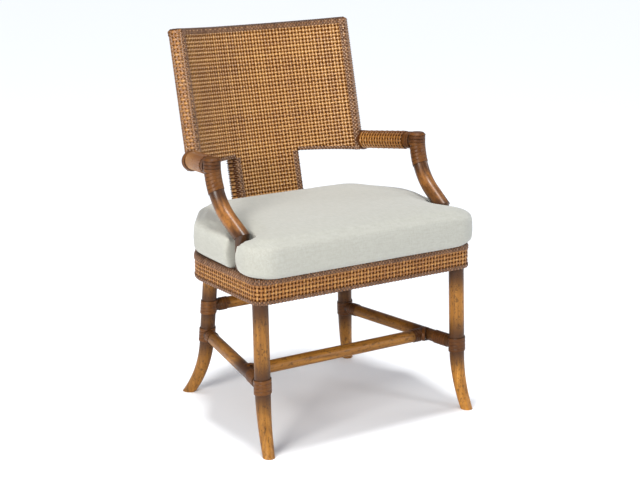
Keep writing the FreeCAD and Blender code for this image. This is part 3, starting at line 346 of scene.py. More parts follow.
def strand(bm, line, width, thick, closed, tone, section=LENS):
    """One strand through line, a list of (point, outward, rise with painted shade, breadth factor), in
    millimetres.

    section gives the number of its sides and how square its edges are."""
    sides, power = section
    count = len(line)
    runs = count if closed else count - 1
    made = bmesh.ops.create_grid(bm, x_segments=runs, y_segments=sides, size=1.0)["verts"]
    tones = bm.verts.layers.float["tone"]
    rises = bm.verts.layers.float["rise"]
    for vert in made:
        step = round((vert.co.x + 1) / 2 * runs)
        turn = round((vert.co.y + 1) / 2 * sides) % sides * (2 * pi / sides)
        point, outward, rise, broad = line[step % count]
        after = line[(step + 1) % count][0] if closed else line[min(step + 1, count - 1)][0]
        before = line[(step - 1) % count][0] if closed else line[max(step - 1, 0)][0]
        side = (after - before).cross(outward).normalized()
        across = side * (width * broad / 2 * squared_off(cos(turn), power))
        raised = outward * (thick / 2 * squared_off(sin(turn), power))
        vert.co = (point + across + raised) * MM
        vert[tones] = tone
        # painted shade: the underside of each section counts as lower, so it takes more of the dip's painted
        # shade
        vert[rises] = rise * (1 - UNDER_SHADE * (1 - sin(turn)))


def new_strands():
    """A bmesh whose vertices hold the tone of their strand and how far they rise out of the weave, times
    painted shade; that sets painted highlight and shade.
    """
    bm = bmesh.new()
    bm.verts.layers.float.new("tone")
    bm.verts.layers.float.new("rise")
    return bm


def finish_mesh(name, bm, material, body):
    """Close the seams and ends of a bmesh, make it an object and let it ride on a body."""
    bmesh.ops.remove_doubles(bm, verts=bm.verts, dist=SEAM)
    bmesh.ops.holes_fill(bm, edges=bm.edges, sides=0)
    bmesh.ops.recalc_face_normals(bm, faces=bm.faces)
    for face in bm.faces:
        face.smooth = True
    mesh = bpy.data.meshes.new(name)
    bm.to_mesh(mesh)
    bm.free()
    obj = bpy.data.objects.new(name, mesh)
    bpy.context.scene.collection.objects.link(obj)
    mesh.materials.append(material)
    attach(obj, body)
    return obj


# Random numbers for the tones of the strands and for how they stray

draw = random.Random(7)

# Weave, in millimetres: a strand's section, its height over the surface, how far it swings and strays

STRAND_WIDE, STRAND_THICK = 5.2, 2.2
LIFT, SWING, UNEVEN = 0.45, 0.9, 0.6
PER_CROSSING = 2

# Shares by which strands spread, calm down and rise round a narrow edge, and by which they lose painted
# highlight to painted shade there and where they face up

EDGE_SPREAD, EDGE_CALM, EDGE_RAISE, EDGE_UNLIT = 0.38, 0.5, 0.1, 0.18
UPWARD_UNLIT = 0.75


def soft_path(corners, phases, radius, closed):
    """Samples (point, outward, phase) along straight sides with rounded corners, in a flat plane.

    Outward is to the right of the way along. Phases are crossing counts at the corners."""
    count = len(corners)
    sides = count if closed else count - 1
    samples = []
    for index in range(sides):
        start, end = Vector(corners[index]), Vector(corners[(index + 1) % count])
        length = (end - start).length
        ahead = (end - start) / length
        outward = Vector((ahead.y, -ahead.x))
        bend_start = closed or index > 0
        bend_end = closed or index < sides - 1
        bend = min(radius, length / 2)
        steps = max(1, ceil(abs(phases[index + 1] - phases[index]) * PER_CROSSING))
        last = 0 if closed or index < sides - 1 else 1
        for step in range(steps + last):
            share = step / steps
            along = share * length
            phase = phases[index] + (phases[index + 1] - phases[index]) * share
            turn = 0.0
            if bend_start and along < bend:
                turn = -pi / 4 * (1 - along / bend)
                hub = start + ahead * bend - outward * bend
            elif bend_end and along > length - bend:
                turn = pi / 4 * (1 - (length - along) / bend)
                hub = end - ahead * bend - outward * bend
            if turn:
                out = outward * cos(turn) + ahead * sin(turn)
                samples.append((hub + out * bend, out, phase))
            else:
                samples.append((start + ahead * along, outward, phase))
    return samples


def lifted(place, out, wave, broad=1.0, shade=1.0):
    """A strand's sample over a surface point: wave is 1 where it passes over and -1 where it dives under;
    its rise, times shade, sets painted highlight and shade.
    """
    # painted shade: faces that look up keep less painted highlight
    shade *= 1 - UPWARD_UNLIT * max(0.0, out.z) ** 2
    return place + out * (LIFT + SWING * wave), out, (1 + wave) / 2 * shade, broad


def woven(samples, sign, lay, lit_share=1.0):
    """Lay flat samples on a surface: over and under by phase, and flatter round a narrow edge.

    lay gives point and outward in space. The last argument is the share of painted highlight kept; lower, it
    paints more shade."""
    line = []
    for point, outward, phase in samples:
        edge = outward.x ** 2
        wave = sign * cos(pi * phase) * (1 - EDGE_CALM * edge) + EDGE_RAISE * edge
        place, out = lay(point, outward)
        # painted shade: strands round a narrow edge keep less painted highlight
        line.append(lifted(place, out, wave, 1 + EDGE_SPREAD * edge, lit_share * (1 - EDGE_UNLIT * edge)))
    return line


# Strands round the edges: height over the weave and step, in millimetres, and the rise and swing of beads

EDGE_LIFT, EDGE_STEP = 1.3, 4.6
BEAD_RAISE, BEAD_SWING = 0.25, 0.75


def edge_strand(bm, corners, radius, lay, index, lit_share, thin=0.0):
    """One strand wrapped round an edge, over the weave; beads on neighbours lie staggered.

    thin is the share of its breadth that it loses on the narrow face. The share before it is that of painted
    highlight kept."""
    phases = [0.0]
    for start, end in zip(corners, corners[1:]):
        phases.append(phases[-1] + (Vector(end) - Vector(start)).length / EDGE_STEP)
    line = []
    for point, outward, phase in soft_path(corners, phases, radius, False):
        place, out = lay(point, outward)
        wave = BEAD_RAISE + (BEAD_SWING if index % 2 else -BEAD_SWING) * cos(pi * phase)
        line.append(lifted(place + out * EDGE_LIFT, out, wave, 1 - thin * outward.x ** 2, lit_share))
    strand(bm, line, EDGE_STEP, STRAND_THICK, False, draw.random())


# Back: rows round the barrel, uprights over its top, and runs along its narrow edges

BACK_FRAME = Matrix.Translation(BACK_FOOT) @ Matrix.Rotation(-RAKE, 4, "X")
BACK_TURN = BACK_FRAME.to_3x3()
FRONT_R, REAR_R = BACK_RADIUS - BACK_THICK / 2, BACK_RADIUS + BACK_THICK / 2
BACK_COUNT = 29
BACK_PITCH = BACK_HALF / (BACK_COUNT + 0.5)
EDGE_RUNS, RUN_WAVE = 4, -0.5
ROW_FOOT = 4.0
SPLAT_COUNT = round(SPLAT_HALF / BACK_PITCH - 0.5)


def on_back(arc, radius, height):
    """A point of the barrel, and the directions outward and sideways there.

    arc is measured at the middle radius, and height up the slope."""
    turn = arc / BACK_RADIUS
    local = Vector((radius * sin(turn), radius * cos(turn) - BACK_RADIUS, height))
    outward = BACK_TURN @ Vector((sin(turn), cos(turn), 0))
    sideways = BACK_TURN @ Vector((cos(turn), -sin(turn), 0))
    return BACK_FRAME @ local, outward, sideways


def level_on_slope(arc, radius, level):
    """How far up the slope a level height is met."""
    forward = radius * cos(arc / BACK_RADIUS) - BACK_RADIUS
    return (level - SEAT_TOP + forward * sin(RAKE)) / cos(RAKE)


def crowning(arc, radius):
    """The panel's height at a place, as a multiple of its height at the side edges."""
    forward = radius * cos(arc / BACK_RADIUS) - BACK_RADIUS
    return 1 + BACK_CROWN * (1 + forward / BACK_SAG) / BACK_HEIGHT


def row_lay(height):
    """Lays flat points (arc, radius) on the barrel, level at a height up the slope."""
    def lay(point, outward):
        place, radial, sideways = on_back(point.x, point.y, height * crowning(point.x, point.y))
        return place, (sideways * outward.x + radial * outward.y).normalized()
    return lay


def upright_lay(arc):
    """Lays flat points (height, radius) on the barrel, upright at an arc."""
    def lay(point, outward):
        place, radial = on_back(arc, point.y, point.x)[:2]
        return place, (BACK_TURN @ UP * outward.x + radial * outward.y).normalized()
    return lay


def row_loop(low, high, counts):
    """A row's closed path in (arc, radius): front face, edge, rear face, edge."""
    corners = [(low, FRONT_R), (high, FRONT_R), (high, REAR_R), (low, REAR_R)]
    across = counts[1] - counts[0]
    phases = [counts[0], counts[1], counts[1] + EDGE_RUNS, counts[1] + EDGE_RUNS + across,
              counts[1] + 2 * EDGE_RUNS + across]
    return soft_path(corners, phases, BACK_EDGE, True)


def weave_back():
    """Rows round the wings and the splat, uprights over the top, and runs along the side edges."""
    rows, uprights = new_strands(), new_strands()
    wing_level = level_on_slope(SPLAT_HALF, FRONT_R, WING_UNDERSIDE)
    row_count = int((BACK_HEIGHT - ROW_FOOT) / BACK_PITCH)
    edge = BACK_COUNT + 0.5
    for row in range(row_count):
        height = BACK_HEIGHT - (row + 0.5) * BACK_PITCH + draw.uniform(-UNEVEN, UNEVEN)
        sign = -1 if row % 2 else 1
        loops = []
        if height > wing_level + STRAND_WIDE / 2:
            loops.append((-BACK_HALF, BACK_HALF, (-edge, edge)))
        else:
            loops.append((-SPLAT_HALF, SPLAT_HALF, (-SPLAT_COUNT - 0.5, SPLAT_COUNT + 0.5)))
            for index in range(SPLAT_COUNT + 2, BACK_COUNT):
                inner = (index - 0.5) * BACK_PITCH
                if level_on_slope(inner, FRONT_R, WING_UNDERSIDE) < height - STRAND_WIDE / 2:
                    loops.append((inner, BACK_HALF, (index - 0.5, edge)))
                    loops.append((-BACK_HALF, -inner, (-edge, 0.5 - index)))
                    break
        for low, high, counts in loops:
            line = woven(row_loop(low, high, counts), sign, row_lay(height))
            strand(rows, line, STRAND_WIDE, STRAND_THICK, True, draw.random())
    for index in range(-BACK_COUNT, BACK_COUNT + 1):
        arc = index * BACK_PITCH + draw.uniform(-UNEVEN, UNEVEN)
        sign = 1 if index % 2 else -1
        foot = SEAT_TOP if abs(index) <= SPLAT_COUNT else WING_UNDERSIDE
        front_low = level_on_slope(arc, FRONT_R, foot)
        rear_low = level_on_slope(arc, REAR_R, foot)
        middle = ((front_low + rear_low) / 2, BACK_RADIUS)
        front_stretch, rear_stretch = crowning(arc, FRONT_R), crowning(arc, REAR_R)
        corners = [middle, (front_low, FRONT_R), (BACK_HEIGHT * front_stretch, FRONT_R),
                   (BACK_HEIGHT * rear_stretch, REAR_R), (rear_low, REAR_R), middle]
        front_phase = (BACK_HEIGHT - front_low / front_stretch) / BACK_PITCH - 0.5
        rear_phase = -0.5 - EDGE_RUNS - (BACK_HEIGHT - rear_low / rear_stretch) / BACK_PITCH
        half = EDGE_RUNS / 2
        phases = [front_phase + half, front_phase, -0.5, -0.5 - EDGE_RUNS, rear_phase, rear_phase - half]
        line = woven(soft_path(corners, phases, BACK_EDGE, False), sign, upright_lay(arc))
        strand(uprights, line, STRAND_WIDE, STRAND_THICK, False, draw.random())
    for run in range(EDGE_RUNS):
        radius = FRONT_R + BACK_THICK * (run + 0.5) / EDGE_RUNS
        for side in (-1, 1):
            low, high = level_on_slope(BACK_HALF, radius, WING_UNDERSIDE), BACK_HEIGHT
            steps = int((high - low) / BACK_PITCH)
            line = []
            for step in range(steps + 1):
                height = low + (high - low) * step / steps
                place, _, sideways = on_back(side * BACK_HALF, radius, height)
                line.append(lifted(place, sideways * side, RUN_WAVE))
            strand(uprights, line, BACK_THICK / EDGE_RUNS, STRAND_THICK, False, draw.random())
    finish_mesh("back_weave_rows", rows, cane, CHAIR)
    finish_mesh("back_weave_uprights", uprights, cane, CHAIR)


# Wrapped edges of the panel: how far they reach in on its faces, and round on its narrow sides

SIDE_REACH, TOP_REACH, FOOT_REACH, SIDE_TURN = 15.0, 13.0, 7.0, 9.0
# Shares of painted highlight kept by the edge wraps; below 1 they take more painted shade, most on the
# panel's top edge and the seat's upper and lower edges
WRAP_TOP_LIT, WRAP_SIDE_LIT, SIDE_THIN = 0.72, 0.9, 0.75


def wrap_sides(bm, half, low, high):
    """Strands round both upright edges of the panel or its splat, on the front and the rear."""
    for index in range(int((high - low) / EDGE_STEP)):
        lay = row_lay(low + (index + 0.5) * EDGE_STEP)
        for face, turned in ((FRONT_R, FRONT_R + SIDE_TURN), (REAR_R, REAR_R - SIDE_TURN)):
            for side in (-1, 1):
                corners = [(side * (half - SIDE_REACH), face), (side * half, face), (side * half, turned)]
                if (side < 0) == (face == FRONT_R):
                    corners.reverse()
                edge_strand(bm, corners, BACK_EDGE, lay, index, WRAP_SIDE_LIT, SIDE_THIN)


def wrap_ends(bm):
    """Strands over the top edge, and under the wings where they stand clear of the splat."""
    for index in range(int(2 * BACK_HALF / EDGE_STEP)):
        arc = (index + 0.5) * EDGE_STEP - BACK_HALF
        lay = upright_lay(arc)
        front, rear = (BACK_HEIGHT * crowning(arc, radius) for radius in (FRONT_R, REAR_R))
        over = [(front - TOP_REACH, FRONT_R), (front, FRONT_R), (rear, REAR_R), (rear - TOP_REACH, REAR_R)]
        edge_strand(bm, over, BACK_EDGE, lay, index, WRAP_TOP_LIT)
        if abs(arc) > SPLAT_HALF:
            front, rear = (level_on_slope(arc, radius, WING_UNDERSIDE) for radius in (FRONT_R, REAR_R))
            under = [(rear + FOOT_REACH, REAR_R), (rear, REAR_R),
                     (front, FRONT_R), (front + FOOT_REACH, FRONT_R)]
            edge_strand(bm, under, BACK_EDGE, lay, index, WRAP_SIDE_LIT)


def wrap_back():
    """Strands round all edges of the panel and its splat."""
    bm = new_strands()
    wing = level_on_slope(BACK_HALF, FRONT_R, WING_UNDERSIDE)
    wrap_sides(bm, BACK_HALF, wing, BACK_HEIGHT)
    wrap_sides(bm, SPLAT_HALF, 0.0, level_on_slope(SPLAT_HALF, FRONT_R, WING_UNDERSIDE))
    wrap_ends(bm)
    finish_mesh("back_edge_wraps", bm, edge_cane, CHAIR)


# Seat: uprights over the rail, and rows round it, whose inner corners keep a least radius in millimetres

LEAST_RADIUS = 3.0


def seat_corners(inset):
    """The seat's six corners, anticlockwise, all edges moved inwards."""
    rear_half = SEAT_HALF_BEND - (SEAT_REAR - SEAT_BEND) * SEAT_TAPER
    right = [Vector((SEAT_HALF_FRONT, SEAT_FRONT)), Vector((SEAT_HALF_BEND, SEAT_BEND)),
             Vector((rear_half, SEAT_REAR))]
    corners = right + [Vector((-c.x, c.y)) for c in reversed(right)]
    moved = []
    for index, corner in enumerate(corners):
        before = (corner - corners[index - 1]).normalized()
        after = (corners[(index + 1) % len(corners)] - corner).normalized()
        half_turn = before.angle(after) / 2
        inwards = (Vector((-before.y, before.x)) + Vector((-after.y, after.x))).normalized()
        moved.append(corner + inwards * (inset / cos(half_turn)))
    return moved


def seat_pieces(inset):
    """The outline as arcs and lines in turn: (hub, radius, start, end), with no hub for a line."""
    corners = seat_corners(inset)
    radii = [max(r - inset, LEAST_RADIUS) for r in SEAT_RADII]
    radii += radii[::-1]
    arcs = []
    for index, corner in enumerate(corners):
        back = (corners[index - 1] - corner).normalized()
        ahead = (corners[(index + 1) % len(corners)] - corner).normalized()
        half = back.angle(ahead) / 2
        hub = corner + (back + ahead).normalized() * (radii[index] / sin(half))
        reach = radii[index] / tan(half)
        arcs.append((hub, radii[index], corner + back * reach, corner + ahead * reach))
    pieces = []
    for index, (hub, radius, start, end) in enumerate(arcs):
        pieces.append((hub, radius, start, end))
        pieces.append((None, 0.0, end, arcs[(index + 1) % len(arcs)][2]))
    return pieces


def piece_length(piece):
    """Length of an arc or a line of the outline."""
    hub, radius, start, end = piece
    if hub is None:
        return (end - start).length
    return radius * (start - hub).angle(end - hub)


SEAT_LENGTHS = [piece_length(piece) for piece in seat_pieces(0.0)]
SEAT_ROUND = sum(SEAT_LENGTHS)
SEAT_COUNT = 2 * round(SEAT_ROUND / BACK_PITCH / 2)
SEAT_CACHE = {}


def seat_point(inset, count):
    """Point and outward direction on the outline at an inset, by crossing count along the outer one."""
    if inset not in SEAT_CACHE:
        SEAT_CACHE[inset] = seat_pieces(inset)
    along = count / SEAT_COUNT % 1.0 * SEAT_ROUND
    for piece, length in zip(SEAT_CACHE[inset], SEAT_LENGTHS):
        if along <= length:
            break
        along -= length
    share = along / length
    hub, _, start, end = piece
    if hub is None:
        way = (end - start).normalized()
        return start + (end - start) * share, Vector((way.y, -way.x))
    first, last = start - hub, end - hub
    whole = first.angle(last)
    out = (first * sin((1 - share) * whole) + last * sin(share * whole)) / sin(whole)
    return hub + out, out.normalized()


SEAT_FACE_ROWS, SEAT_TOP_ROWS, SEAT_UNDER_ROWS = 6, 6, 5
# Shares of painted highlight kept by the seat's weave; its rows on the top are nearly all painted shade, a
# painted shadow under the cushion
SEAT_LIT, SEAT_UNDER_CUSHION_LIT, TOP_SLACK = 0.68, 0.05, 1.0


def seat_section():
    """The rail's section in (height, inset): under, outside and top."""
    corners = [(SEAT_LOW, SEAT_RAIL - SEAT_EDGE), (SEAT_LOW, 0.0), (SEAT_TOP, 0.0), (SEAT_TOP, SEAT_RAIL)]
    phases = [-0.5 - SEAT_UNDER_ROWS, -0.5, SEAT_FACE_ROWS - 0.5, SEAT_FACE_ROWS + SEAT_TOP_ROWS - 0.5]
    return soft_path(corners, phases, SEAT_EDGE, False)


def section_at(samples, phase):
    """The section's point and outward direction at a crossing count."""
    for (point, out, low), (next_point, next_out, high) in zip(samples, samples[1:]):
        if low <= phase <= high:
            share = (phase - low) / (high - low)
            return point.lerp(next_point, share), out.lerp(next_out, share).normalized()
    return samples[-1][:2]


def seat_lay(count):
    """Lays flat points (height, inset) on the seat, at a crossing count along its outline."""
    def lay(point, outward):
        flat, side = seat_point(max(point.y, 0.0), count)
        place = Vector((flat.x, flat.y, point.x))
        return place, (UP * outward.x - Vector((side.x, side.y, 0)) * outward.y).normalized()
    return lay


def weave_seat():
    """Uprights over the section of the rail, and rows along it, all round the seat."""
    rows, uprights = new_strands(), new_strands()
    samples = seat_section()
    for index in range(SEAT_COUNT):
        line = woven(samples, 1 if index % 2 else -1, seat_lay(index), SEAT_LIT)
        strand(uprights, line, STRAND_WIDE, STRAND_THICK, False, draw.random())
    for row in range(-SEAT_UNDER_ROWS, SEAT_FACE_ROWS + SEAT_TOP_ROWS):
        point, outward = section_at(samples, row)
        sign = -1 if row % 2 else 1
        # painted shadow under the cushion on the rows of the top
        lit_share = SEAT_UNDER_CUSHION_LIT if point.x > SEAT_TOP - TOP_SLACK else SEAT_LIT
        line = []
        for step in range(SEAT_COUNT * PER_CROSSING):
            count = step / PER_CROSSING
            place, out = seat_lay(count)(point, outward)
            line.append(lifted(place, out, sign * cos(pi * count), 1.0, lit_share))
        strand(rows, line, STRAND_WIDE, STRAND_THICK, True, draw.random())
    finish_mesh("seat_weave_rows", rows, cane, CHAIR)
    finish_mesh("seat_weave_uprights", uprights, cane, CHAIR)


# Wrapped edges of the seat: how far they reach down its face, in on its top, and round its lower edge

SEAT_TOP_REACH, SEAT_TOP_TURN, SEAT_FOOT_REACH = 12.0, 10.0, 8.0


def wrap_seat():
    """Strands round the upper and lower outer edges of the seat."""
    bm = new_strands()
    steps = int(SEAT_ROUND / EDGE_STEP)
    for index in range(steps):
        lay = seat_lay(index * SEAT_COUNT / steps)
        # painted shade: the seat's upper and lower edge wraps keep the top edges' lower share of painted
        # highlight
        edge_strand(bm, [(SEAT_TOP - SEAT_TOP_REACH, 0.0), (SEAT_TOP, 0.0), (SEAT_TOP, SEAT_TOP_TURN)],
                    SEAT_EDGE, lay, index, WRAP_TOP_LIT)
        edge_strand(bm, [(SEAT_LOW, SEAT_FOOT_REACH), (SEAT_LOW, 0.0), (SEAT_LOW + SEAT_FOOT_REACH, 0.0)],
                    SEAT_EDGE, lay, index, WRAP_TOP_LIT)
    finish_mesh("seat_edge_wraps", bm, edge_cane, CHAIR)


weave_back()
wrap_back()
weave_seat()
wrap_seat()

# Arms: the axes of the rails and the bent posts, in millimetres


def seat_half(setback):
    """Half the seat's breadth at a setback from its front edge, ahead of the bend in its sides."""
    return SEAT_HALF_FRONT + (SEAT_HALF_BEND - SEAT_HALF_FRONT) * setback / (SEAT_BEND - SEAT_FRONT)


POST_TOE = radians(4.2)
POST_BEND, POST_TURN, POST_SLANT = 140.0, radians(60.0), 58.3
ARM_FRONT, ARM_ELBOW, POST_RISE = 631.0, 609.0, 9.0
POST_BEND_TOP = ARM_FRONT + POST_RISE
POST_RUN = POST_SLANT * sin(POST_TURN) + POST_BEND * (1 - cos(POST_TURN))
POST_SETBACK, POST_INSET = 94.5, 21.4
POST_FOOT_X = seat_half(POST_SETBACK) - POST_INSET
POST_FOOT_Y = SEAT_FRONT + POST_SETBACK


def post_frame(sign):
    """The frame of an arm post: under the head of the post, turned as the post is."""
    x = sign * (POST_FOOT_X + POST_RUN * sin(POST_TOE))
    y = POST_FOOT_Y + POST_RUN * cos(POST_TOE)
    return Matrix.Translation((x, y, 0)) @ Matrix.Rotation(-sign * POST_TOE, 4, "Z")


def arm_line(sign):
    """Axis of an arm rail, from the panel's lower corner to the front corner."""
    rise = level_on_slope(BACK_HALF, BACK_RADIUS, ARM_ELBOW)
    elbow = on_back(sign * BACK_HALF, BACK_RADIUS, rise)[0]
    forward = POST_BEND * (1 - cos(asin(POST_RISE / POST_BEND)))
    return elbow, post_frame(sign) @ Vector((0, -forward, ARM_FRONT))


# Sleeves: their stretch and wall, in millimetres, and shares by which their strands swing and trade painted
# highlight for painted shade

SLEEVE_START, SLEEVE_STOP, SLEEVE_WALL = 14.0, 30.0, 2.6
SLEEVE_COUNT = 14
HOOP_RAISE, HOOP_SWING, HOOP_CALM, HOOP_SPREAD = 0.4, 0.6, 0.7, 0.5
LENGTH_RAISE, LENGTH_SWING, LENGTH_SINK, LENGTH_TONE = -0.3, 0.7, 0.7, 0.5
# Towards the front and on the outer side, sleeve strands keep less painted highlight and take more painted
# shade
SLEEVE_LIT, FRONT_UNLIT, OUTER_UNLIT = 0.9, 0.3, 0.35
REAR_TONE, FRONT_DARKER = 0.9, 0.8


def weave_arm(name, sign):
    """Cane sleeve on the rear stretch of an arm rail."""
    bm = new_strands()
    elbow, front = arm_line(sign)
    ahead = (front - elbow).normalized()
    first = ahead.cross(UP).normalized()
    second = first.cross(ahead)

    def around(count, along):
        turn = 2 * pi * count / SLEEVE_COUNT
        out = first * cos(turn) + second * sin(turn)
        return elbow + ahead * along + out * (ARM_RADIUS + SLEEVE_WALL), out, max(0.0, out.x * sign)

    hoops = int(((front - elbow).length - SLEEVE_STOP - SLEEVE_START) / BACK_PITCH)
    for hoop in range(hoops):
        line = []
        for step in range(SLEEVE_COUNT * PER_CROSSING):
            count = step / PER_CROSSING
            place, out, outer = around(count, SLEEVE_START + (hoop + 0.5) * BACK_PITCH)
            swing = (-HOOP_SWING if hoop % 2 else HOOP_SWING) * cos(pi * count)
            wave = HOOP_RAISE + swing * (1 - HOOP_CALM * outer)
            # painted shade towards the front and on the outer side of the sleeve
            shade = SLEEVE_LIT - FRONT_UNLIT * hoop / hoops - OUTER_UNLIT * outer
            line.append(lifted(place, out, wave, 1 + HOOP_SPREAD * outer, shade))
        strand(bm, line, STRAND_WIDE, STRAND_THICK, True, REAR_TONE - FRONT_DARKER * hoop / hoops)
    for index in range(SLEEVE_COUNT):
        line = []
        for step in range(hoops * PER_CROSSING + 1):
            count = step / PER_CROSSING - 0.5
            place, out, outer = around(index, SLEEVE_START + (count + 0.5) * BACK_PITCH)
            swing = (LENGTH_SWING if index % 2 else -LENGTH_SWING) * cos(pi * count)
            wave = LENGTH_RAISE + swing * (1 - outer) - LENGTH_SINK * outer
            shade = SLEEVE_LIT - FRONT_UNLIT * max(0.0, count) / hoops
            line.append(lifted(place, out, wave, 1.0, shade))
        strand(bm, line, STRAND_WIDE, STRAND_THICK, False, LENGTH_TONE)
    finish_mesh(name, bm, cane, CHAIR)


# Windings: strips wound on the poles, flat or crowned, and how finely a turn or a ring is drawn

STRIP_THICK, RING_THICK = 1.5, 1.6
TURN_STEPS, RING_STEPS = 28, 36
NEARLY_UPRIGHT = 0.3


def wind(bm, start, ahead, radius, turns, wide, pitch, thick=STRIP_THICK, section=FLAT):
    """One strip wound on a straight pole from start along ahead."""
    ahead = ahead.normalized()
    first = ahead.cross(UP)
    if first.length < NEARLY_UPRIGHT:
        first = ahead.cross(Vector((1, 0, 0)))
    first.normalize()
    second = ahead.cross(first)
    line = []
    for step in range(turns * TURN_STEPS + 1):
        turn = 2 * pi * step / TURN_STEPS
        out = first * cos(turn) + second * sin(turn)
        place = start + ahead * (pitch * step / TURN_STEPS) + out * (radius + thick / 2)
        line.append((place, out, 1.0, 1.0))
    strand(bm, line, wide, thick, False, draw.random(), section)


def wind_post(bm, sign, start_turn, turns, wide, pitch):
    """One strip wound on the bend of an arm post."""
    frame_of_post = post_frame(sign)
    turning = frame_of_post.to_3x3()
    hub = Vector((0, -POST_BEND, POST_BEND_TOP))
    line = []
    for step in range(turns * TURN_STEPS + 1):
        turn = 2 * pi * step / TURN_STEPS
        along = start_turn + pitch * step / TURN_STEPS / POST_BEND
        radial = Vector((0, cos(along), -sin(along)))
        out = radial * cos(turn) + Vector((1, 0, 0)) * sin(turn)
        place = hub + radial * POST_BEND + out * (ARM_RADIUS + STRIP_THICK / 2)
        line.append((frame_of_post @ place, turning @ out, 1.0, 1.0))
    strand(bm, line, wide, STRIP_THICK, False, draw.random(), FLAT)


def ring(bm, hub, axis, radius, tilt, wide, thick):
    """One closed strip round an axis; it faces outwards, or tilted towards the axis."""
    axis = axis.normalized()
    first = axis.orthogonal().normalized()
    second = axis.cross(first)
    line = []
    for step in range(RING_STEPS):
        turn = 2 * pi * step / RING_STEPS
        level = first * cos(turn) + second * sin(turn)
        out = level * cos(tilt) + axis * sin(tilt)
        line.append((hub + level * radius + out * (thick / 2), out, 1.0, 1.0))
    strand(bm, line, wide, thick, True, draw.random(), FLAT)


# Strips on the head of an arm post: level from the rail's axis, radius less the pole's, tilt, breadth

HEAD_RINGS = [(-8.0, 0.3, 0, 8.2), (0.5, 0.3, 0, 8.2), (9.0, 0.3, 0, 8.2), (16.0, -1.1, 45, 8.0),
              (18.3, -7.6, 90, 8.6), (18.3, -14.8, 90, 8.6)]


def wrap_head(bm, sign):
    """Strips round the head of an arm post, over its rim and across its top."""
    frame_of_post = post_frame(sign)
    for level, spread, tilt, wide in HEAD_RINGS:
        hub = frame_of_post @ Vector((0, 0, ARM_FRONT + level))
        ring(bm, hub, UP, ARM_RADIUS + spread, radians(tilt), wide, RING_THICK)


# Knuckle: its radius and its place from the elbow, in millimetres, and the turns of its strips, in degrees

KNUCKLE = 23.0
KNUCKLE_AHEAD, KNUCKLE_DROP, KNUCKLE_OUT = 4.0, 2.0, 3.0
KNUCKLE_TURNS = (-85, -59, -33, -7, 19, 45)
KNUCKLE_STRIP, KNUCKLE_THICK = KNUCKLE * radians(25), 1.8


def wrap_knuckle(bm, sign):
    """Strips round the swelling where an arm rail passes the panel's lower corner."""
    elbow, front = arm_line(sign)
    ahead = (front - elbow).normalized()
    middle = elbow + ahead * KNUCKLE_AHEAD - UP * KNUCKLE_DROP + Vector((sign * KNUCKLE_OUT, 0, 0))
    for degrees in KNUCKLE_TURNS:
        turn = radians(degrees)
        hub = middle + ahead * (KNUCKLE * sin(turn))
        ring(bm, hub, ahead, KNUCKLE * cos(turn), turn, KNUCKLE_STRIP, KNUCKLE_THICK)


# Strips of the arms, in millimetres: on the rails, in collars behind the front corners, and on the posts

STRIP, STRIP_PITCH = 6.4, 7.3
RAIL_START, RAIL_TURNS = 40.6, 3
COLLAR_SETBACKS, COLLAR_WIDE, COLLAR_THICK = (27.0, 19.0), 7.8, 2.8
POST_STRIP, POST_STRIP_PITCH, POST_STRIP_TURNS = 9.0, 9.4, 5
POST_STRIP_START = asin((POST_RISE + ARM_RADIUS - STRIP) / POST_BEND)
rail_strips, post_strips = new_strands(), new_strands()
for side, sign in (("left", -1), ("right", 1)):
    weave_arm(f"arm_weave_strands_{side}", sign)
    elbow, front = arm_line(sign)
    ahead = (front - elbow).normalized()
    wind(rail_strips, front - ahead * RAIL_START, ahead, ARM_RADIUS, RAIL_TURNS, STRIP, STRIP_PITCH)
    for setback in COLLAR_SETBACKS:
        ring(rail_strips, front - ahead * setback, ahead, ARM_RADIUS, 0, COLLAR_WIDE, COLLAR_THICK)
    wind_post(post_strips, sign, POST_STRIP_START, POST_STRIP_TURNS, POST_STRIP, POST_STRIP_PITCH)
    wrap_head(post_strips, sign)
    wrap_knuckle(rail_strips, sign)
made = finish_mesh("arm_rail_strips", rail_strips, leather, CHAIR)
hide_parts("arm_rail_windings")
made = finish_mesh("arm_post_strips", post_strips, leather, CHAIR)
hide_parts("arm_post_windings")


# Legs: setback from the seat's front, inset from its side, turn and lean of their straight stretches

FRONT_LEG = (28.0, 24.0, radians(11.0), radians(1.8))
REAR_LEG = (411.0, 25.7, radians(39.4), radians(5.0))


def leg_axis(end, sign, height):
    """The point of a leg's axis at a height, on its straight stretch drawn on to the floor."""
    setback, inset, turn, lean = FRONT_LEG if end == "front" else REAR_LEG
    y = SEAT_FRONT + setback
    if end == "front":
        x = seat_half(setback) - inset
        outward = Vector((sign * sin(turn), -cos(turn), 0))
    else:
        x = SEAT_HALF_BEND - (y - SEAT_BEND) * SEAT_TAPER - inset / cos(SEAT_TAPER_TURN)
        outward = Vector((sign * sin(turn), cos(turn), 0))
    return Vector((sign * x, y, height)) + outward * ((SEAT_LOW - height) * tan(lean))


# Crossed strips: how far inward of the joint, half length, half height and breadth

CROSS_INWARD, CROSS_LONG, CROSS_HIGH, CROSS_WIDE = 7.0, 24.0, 16.6, 8.0


def cross_over(bm, joint, along, inward):
    """Two strips crossed over the joint where a stretcher meets the side of another."""
    hub = joint + inward * CROSS_INWARD
    for lean in (-1, 1):
        level = (along + inward * lean).normalized()
        line = []
        for step in range(RING_STEPS):
            turn = 2 * pi * step / RING_STEPS
            place = hub + level * (CROSS_LONG * cos(turn)) + UP * (CROSS_HIGH * sin(turn))
            out = (level * (cos(turn) / CROSS_LONG) + UP * (sin(turn) / CROSS_HIGH)).normalized()
            line.append((place, out, 1.0, 1.0))
        strand(bm, line, CROSS_WIDE, RING_THICK, True, draw.random(), FLAT)


# Bands on the legs and strips on the stretchers, in millimetres

